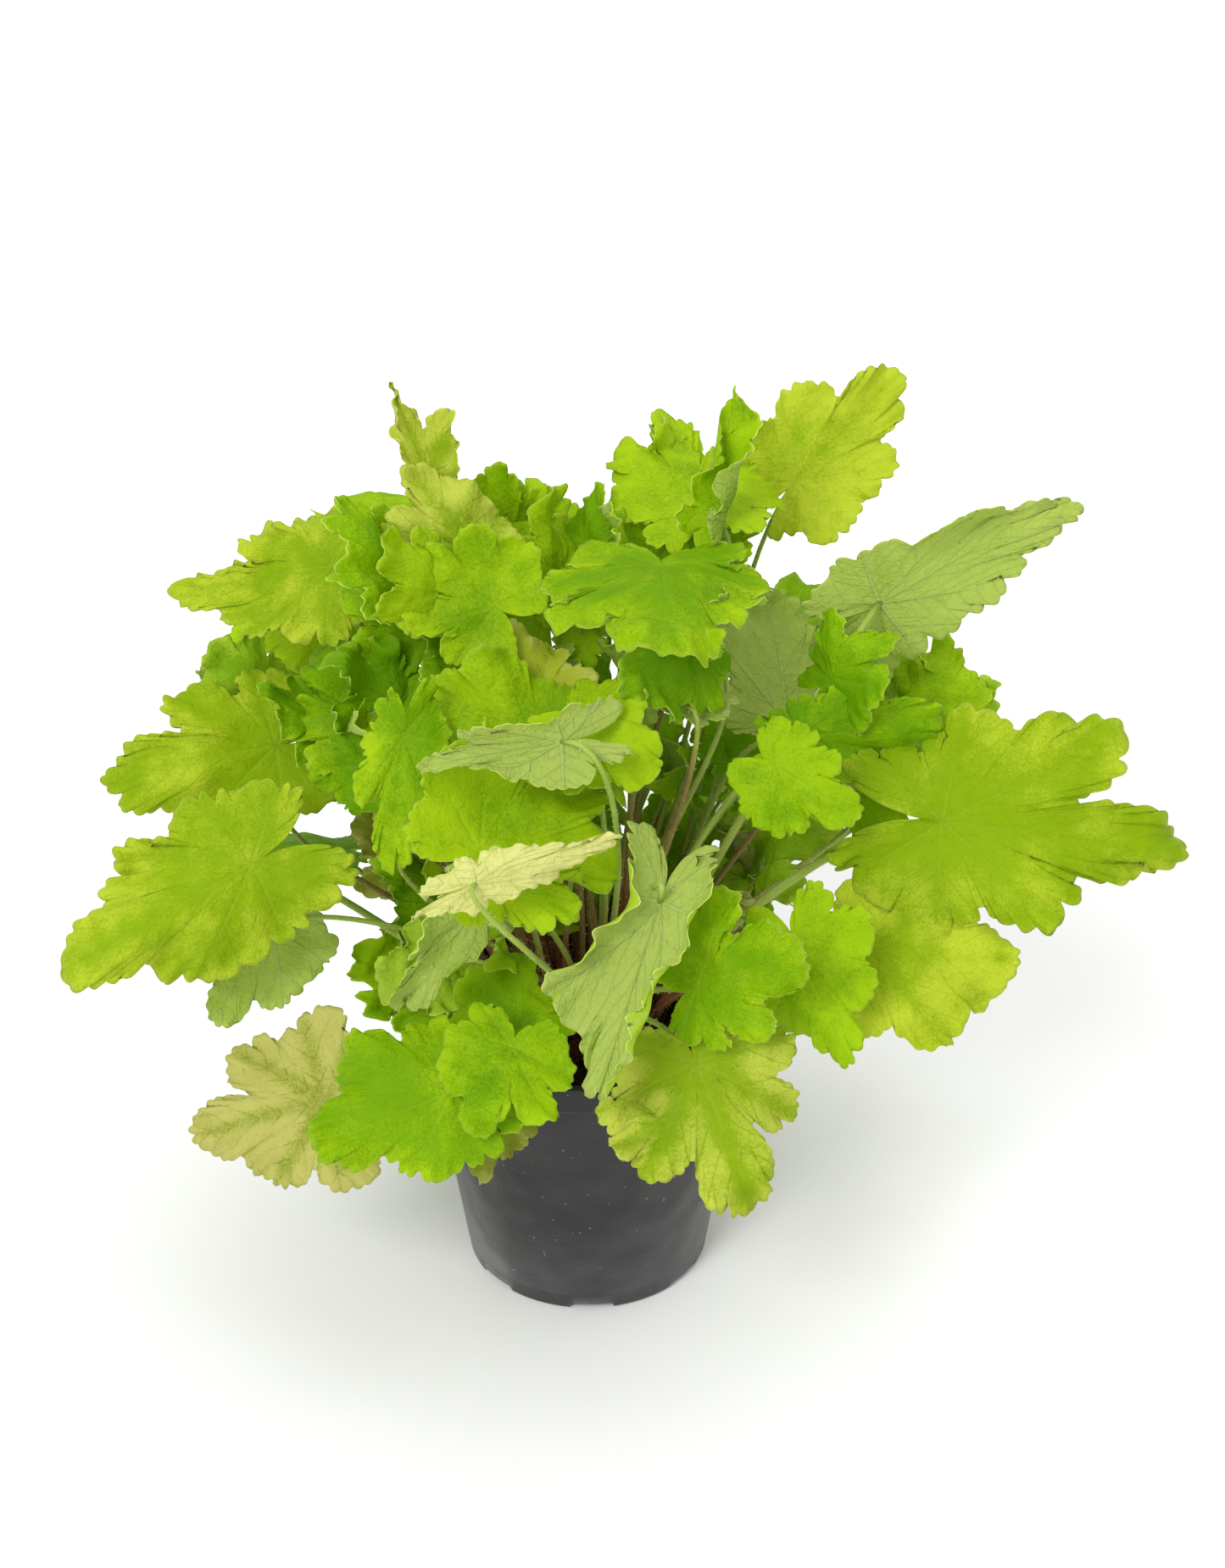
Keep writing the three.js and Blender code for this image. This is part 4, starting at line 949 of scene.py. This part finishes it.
def vein_net(graph):
    """How much of the surface here is main vein, side vein, fine net and near a main vein, from 0 to 1."""
    place = graph.node("ShaderNodeUVMap", {"uv_map": "veins"}, {})
    along = graph.node("ShaderNodeSeparateXYZ", {}, {0: place}, 0)
    off = graph.node("ShaderNodeSeparateXYZ", {}, {0: place}, 1)
    wobble = graph.noise(0.012, 2)
    width = graph.math("MAXIMUM", 0.00075 - along * 0.008, 0.00022)
    main = 1 - graph.rise(off, width * 0.6, width * 1.5)
    phase = (along - off * 1.3) / 0.0098 + wobble * 0.55
    from_vein = graph.math("ABSOLUTE", phase - graph.math("ROUND", phase, 0.0), 0.0)
    side = 1 - graph.rise(from_vein, 0.015, 0.075)
    mesh = {"Vector": graph.place(), "Scale": 300.0}
    cells = graph.node("ShaderNodeTexVoronoi", {"feature": "DISTANCE_TO_EDGE"}, mesh, "Distance")
    return main, side, 1 - graph.rise(cells, 0.02, 0.16), 1 - graph.rise(off + along * 0.03, 0.001, 0.0065)


def blade_finish(name, deep, pale, vein, speckle=0.0, under=False, glow=0.45):
    """Soft leaf: clouded green, paler outwards and on its veins, which are sunk above and raised beneath."""
    material, graph, shader = finish(name, Specular_IOR_Level=0.1)
    main, side, net, zone = vein_net(graph)
    outward = attribute(graph, "outward")
    tint = attribute(graph, "tint")
    cloud = graph.noise(0.022, 2)
    pucker = graph.noise(0.0065, 2)
    grain = graph.noise(0.0008, 3)
    share = (cloud - 0.5) * 1.7 + (pucker - 0.5) * 0.6 + (grain - 0.5) * 1.3 + (tint - 0.5) * 0.9
    if not under:
        share = share - zone * (0.07 + speckle * 0.9) - side * (0.03 + speckle * 0.5)
    paling = 0.55 if under else 0.3
    green = graph.blend(graph.rise(share + 0.42 + outward**3 * paling, 0.0, 1.0), deep, pale)
    rim = graph.rise(outward, 0.955, 1.0)
    on_main, on_side, on_rim = (0.2, 0.16, 0.1) if under else (0.07, 0.0, 0.5 - speckle * 0.8)
    veins = main * on_main + side * on_side + net * 0.04 + rim * on_rim
    green = graph.blend(graph.math("MINIMUM", veins, 1.0), green, vein)
    specks = graph.rise(graph.noise(0.0035, 3), 0.70 - speckle * 0.08, 0.76)
    green = graph.blend(specks * (0.3 + speckle * 0.5), green, colour(142, 112, 52))
    dots = graph.rise(graph.noise(0.0021, 1), 0.76, 0.80)
    green = graph.blend(dots * 0.45, green, colour(88, 96, 40))
    hollow = main * 0.3 + side * 0.2 + net * 0.12
    height = pucker + hollow if under else pucker - hollow * 0.3
    normal = graph.bump(height + grain * 0.2, 0.0024, 0.7)
    roughness = 0.72 if under else 0.5
    feed(graph, shader, Base_Color=green, Roughness=roughness + pucker * 0.2 - 0.1, Normal=normal)
    mix_through(material, shader, pale, glow)
    return material


def mix_through(material, shader, light, share):
    """Lets a share of the light through the leaf."""
    nodes, links = material.node_tree.nodes, material.node_tree.links
    through = nodes.new("ShaderNodeBsdfTranslucent")
    through.inputs["Color"].default_value = light
    mix = nodes.new("ShaderNodeMixShader")
    mix.inputs[0].default_value = share
    links.new(shader.outputs[0], mix.inputs[1])
    links.new(through.outputs[0], mix.inputs[2])
    links.new(mix.outputs[0], nodes["Material Output"].inputs["Surface"])


def edge_finish():
    """The blade's thin pale edge."""
    material, graph, shader = finish("leaf_edge", Specular_IOR_Level=0.2, Roughness=0.6)
    pale = graph.blend(graph.noise(0.01), colour(178, 206, 60), colour(210, 226, 116))
    feed(graph, shader, Base_Color=pale)
    return material


def stalk_finish():
    """Pale green stalk, streaked along its length and flushed red-brown towards the crown."""
    material, graph, shader = finish("leaf_stalk", Specular_IOR_Level=0.25)
    up = attribute(graph, "outward")
    redness = attribute(graph, "redness")
    cloud = graph.noise(0.014, 3)
    streak = graph.noise(0.0016, 3)
    green = graph.blend(cloud, colour(130, 158, 44), colour(180, 202, 94))
    flush = graph.rise(redness * 1.2 - up * 1.15 + cloud * 0.5, 0.25, 0.85)
    base = graph.rise(0.36 - up + cloud * 0.2, 0.0, 0.35)
    red = graph.blend(cloud, colour(104, 46, 36), colour(146, 82, 56))
    painted = graph.blend(graph.math("MAXIMUM", flush * 0.75, base), green, red)
    feed(graph, shader, Base_Color=graph.blend(streak * 0.3, painted, colour(132, 132, 66)))
    feed(graph, shader, Roughness=0.45 + cloud * 0.2, Normal=graph.bump(streak, 0.0005))
    return material


# Each tone's deep and pale green, the veins' colour, the underside's deep and pale, and its speckling.
TONES = {
    "lime": ((142, 180, 0), (212, 226, 62), (206, 224, 104), (150, 176, 54), (206, 218, 122), 0.15),
    "bright": ((124, 176, 0), (192, 224, 24), (196, 224, 80), (140, 172, 36), (196, 214, 98), 0.0),
    "mid": ((114, 170, 0), (182, 220, 18), (186, 216, 74), (130, 164, 32), (190, 210, 92), 0.0),
    "yellow": ((142, 180, 10), (218, 228, 92), (218, 224, 124), (164, 182, 66), (214, 218, 120), 0.5),
    "pale": ((128, 176, 12), (192, 222, 62), (196, 220, 98), (148, 176, 54), (198, 214, 108), 0.1),
    "cream": ((184, 200, 50), (240, 238, 140), (226, 232, 148), (196, 206, 104), (240, 240, 160), 0.1),
    "olive": ((138, 160, 36), (214, 212, 122), (196, 198, 110), (160, 170, 80), (206, 208, 122), 0.5),
}

leaf_edge = edge_finish()
leaf_stalk = stalk_finish()
tone_finishes = {}
for tone, (deep, pale, vein, deep_under, pale_under, speckle) in TONES.items():
    upper = blade_finish(f"leaf_{tone}_upper", colour(*deep), colour(*pale), colour(*vein), speckle)
    shown = (colour(*deep_under), colour(*pale_under), colour(206, 218, 172))
    under = blade_finish(f"leaf_{tone}_under", *shown, speckle * 0.5, under=True)
    tone_finishes[tone] = (upper, under, leaf_edge, leaf_stalk)

leaves = [Leaf(index, *row, **BESIDES.get(index + 1, {})) for index, row in enumerate(LEAVES)]
for index, leaf in enumerate(leaves):
    node = f"leaf_{index + 1:02d}"
    blade = add_object(f"{node}_blade", leaf_mesh(f"{node}_blade", leaf, tone_finishes[leaf.tone]))
    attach(blade, "root")
    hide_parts(node)

# --- Young leaves ---------------------------------------------------------------------------------
# Small leaves that the crown pushes up between the grown ones. They are the same organ, tightly ruffled
# because their edges have grown faster than the rest, and each turns to the light that reaches it.

YOUNG_RUFFLE = 0.1
# The spans that the rest of each one's form is drawn from, in the order of the draws.
YOUNG_SPANS = {
    "curl": (-10, 55),
    "cup": (-35, 70),
    "spread": (0.75, 1.2),
    "wavy": (1.2, 2.0),
    "rise": (0.3, 0.6),
    "sway": (-14, 14),
}
YOUNG_SEED_STEP = 7
YOUNG_SEED = 3
# How far out on the crown a stalk stands, as a share of how far out its blade begins.
FOOT_SHARE = 0.2
# Each one's base and tip in millimetres, the roll of its blade in degrees and its tone.
YOUNG_LEAVES = (
    # Behind the stalks, right of the middle.
    ((70, 35, 197), (44, 26, 219), 60, "mid"),
    ((40, 46, 182), (22, 44, 208), 40, "mid"),
    ((59, 62, 183), (66, 72, 208), -20, "mid"),
    ((11, 30, 178), (-5, 24, 204), 30, "mid"),
    ((65, 22, 158), (81, 10, 190), -60, "pale"),
    ((35, 34, 193), (31, 34, 223), 0, "mid"),
    ((38, 45, 154), (28, 50, 178), 20, "mid"),
    ((63, 34, 146), (52, 30, 178), 20, "olive"),
    ((71, 24, 135), (58, 20, 165), 20, "pale"),
    ((11, 30, 226), (4, 26, 252), 20, "mid"),
    ((-12, 30, 240), (-14, 30, 260), 10, "bright"),
    ((54, 44, 133), (66, 38, 169), -40, "mid"),
    ((27, 52, 132), (19, 58, 161), 20, "mid"),
    ((2, 34, 137), (-11, 30, 166), 30, "mid"),
    # Left.
    ((-55, 6, 149), (-79, -10, 182), 55, "mid"),
    ((-62, 30, 159), (-91, 18, 181), 60, "olive"),
    ((-52, -26, 148), (-76, -44, 152), 60, "pale"),
    ((-47, -20, 120), (-73, -36, 123), 50, "bright"),
    ((-68, 0, 119), (-87, -12, 147), 60, "mid"),
    ((-68, 0, 241), (-92, -6, 264), 50, "mid"),
    ((-65, -10, 222), (-81, -20, 249), 40, "bright"),
    ((-69, -14, 196), (-76, -26, 230), 20, "bright"),
    ((-96, 10, 229), (-121, 4, 245), 50, "mid"),
    ((-122, 30, 234), (-143, 28, 247), 60, "pale"),
    ((-109, 14, 199), (-114, 10, 219), 10, "olive"),
    # High on the left.
    ((-30, 46, 282), (-35, 56, 313), 10, "bright"),
    ((-10, 30, 279), (-16, 36, 310), -10, "bright"),
    ((0, 40, 288), (8, 44, 309), -15, "bright"),
    ((-67, 10, 284), (-81, 8, 318), 35, "mid"),
    ((-51, 0, 285), (-74, -8, 307), 50, "bright"),
    ((-41, 10, 250), (-56, 4, 276), 50, "mid"),
    ((15, 20, 234), (10, 16, 262), 0, "mid"),
    # High on the right.
    ((35, 62, 293), (30, 66, 327), 10, "bright"),
    ((47, 40, 281), (62, 36, 303), -50, "bright"),
    ((15, 30, 289), (8, 30, 308), 10, "mid"),
    ((39, -20, 277), (47, -26, 299), -40, "bright"),
    # Right.
    ((118, 40, 200), (131, 36, 242), -50, "bright"),
    ((139, 30, 209), (155, 26, 237), -50, "pale"),
    ((88, -10, 256), (105, -16, 279), -50, "mid"),
    ((101, 0, 203), (119, -8, 228), -50, "mid"),
    # Over the rim.
    ((31, -112, 137), (9, -122, 131), 30, "yellow"),
    # Middle.
    ((-21, -50, 205), (-37, -60, 231), 50, "bright"),
    ((-28, -40, 157), (-36, -50, 188), 30, "bright"),
    ((9, -30, 232), (0, -40, 255), 20, "bright"),
)

grown = len(leaves)
for index, (base, tip, roll, tone) in enumerate(YOUNG_LEAVES):
    random = seeded(YOUNG_SEED_STEP * index + YOUNG_SEED)
    form = {part: low + (high - low) * random() for part, (low, high) in YOUNG_SPANS.items()}
    foot = (base[0] * FOOT_SHARE, base[1] * FOOT_SHARE)
    leaves.append(Leaf(grown + index, foot, base, tip, roll, tone, ruffle=YOUNG_RUFFLE, **form))
for index, leaf in enumerate(leaves[grown:]):
    name = f"young_leaf_{index + 1:02d}"
    blade = add_object(name, leaf_mesh(name, leaf, tone_finishes[leaf.tone]))
    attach(blade, "root")

# --- Hairs ----------------------------------------------------------------------------------------
# Short soft white hairs that stand out all round the stalks, as dense near the crown as near the blade.
# They are grown on a copy of all the stalks, which is then removed.

# Hairs for each square metre, their lengths, their thickness beside their length and how far they lean.
HAIRS = {"Density": 150000, "Smallest": 0.0007, "Largest": 0.0018, "Thickness": 0.055}
HAIR_LEAN = ((-0.7, -0.7, 0), (0.7, 0.7, 6.28))


def hair_finish():
    """Clouded pale straw to white."""
    material, graph, shader = finish("hair", Specular_IOR_Level=0.3, Roughness=0.6)
    pale = graph.blend(graph.noise(0.02), colour(206, 212, 160), colour(232, 234, 206))
    feed(graph, shader, Base_Color=pale)
    return material


stalk_points = []
stalk_faces = []
for leaf in leaves:
    rings, _ = leaf.stalk()
    stalk_faces += tube_faces(len(rings), STALK_SIDES, len(stalk_points))
    stalk_points += (np.concatenate(rings) * MM).tolist()
bare_mesh = bpy.data.meshes.new("bare_stalks")
bare_mesh.from_pydata(stalk_points, [], stalk_faces)
bare_stalks = add_object("bare_stalks", bare_mesh)
hair_form = {"Vertices": 3, "Radius Top": 0.0, "Radius Bottom": "Thickness", "Depth": 1.0}
hair = ("GeometryNodeMeshCone", hair_form)
hairs = strewn("stalk_hairs", bare_stalks, hair_finish(), HAIRS, hair, HAIR_LEAN, seeds=(23, 29, 31))
bpy.data.objects.remove(bare_stalks)
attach(hairs, "root")
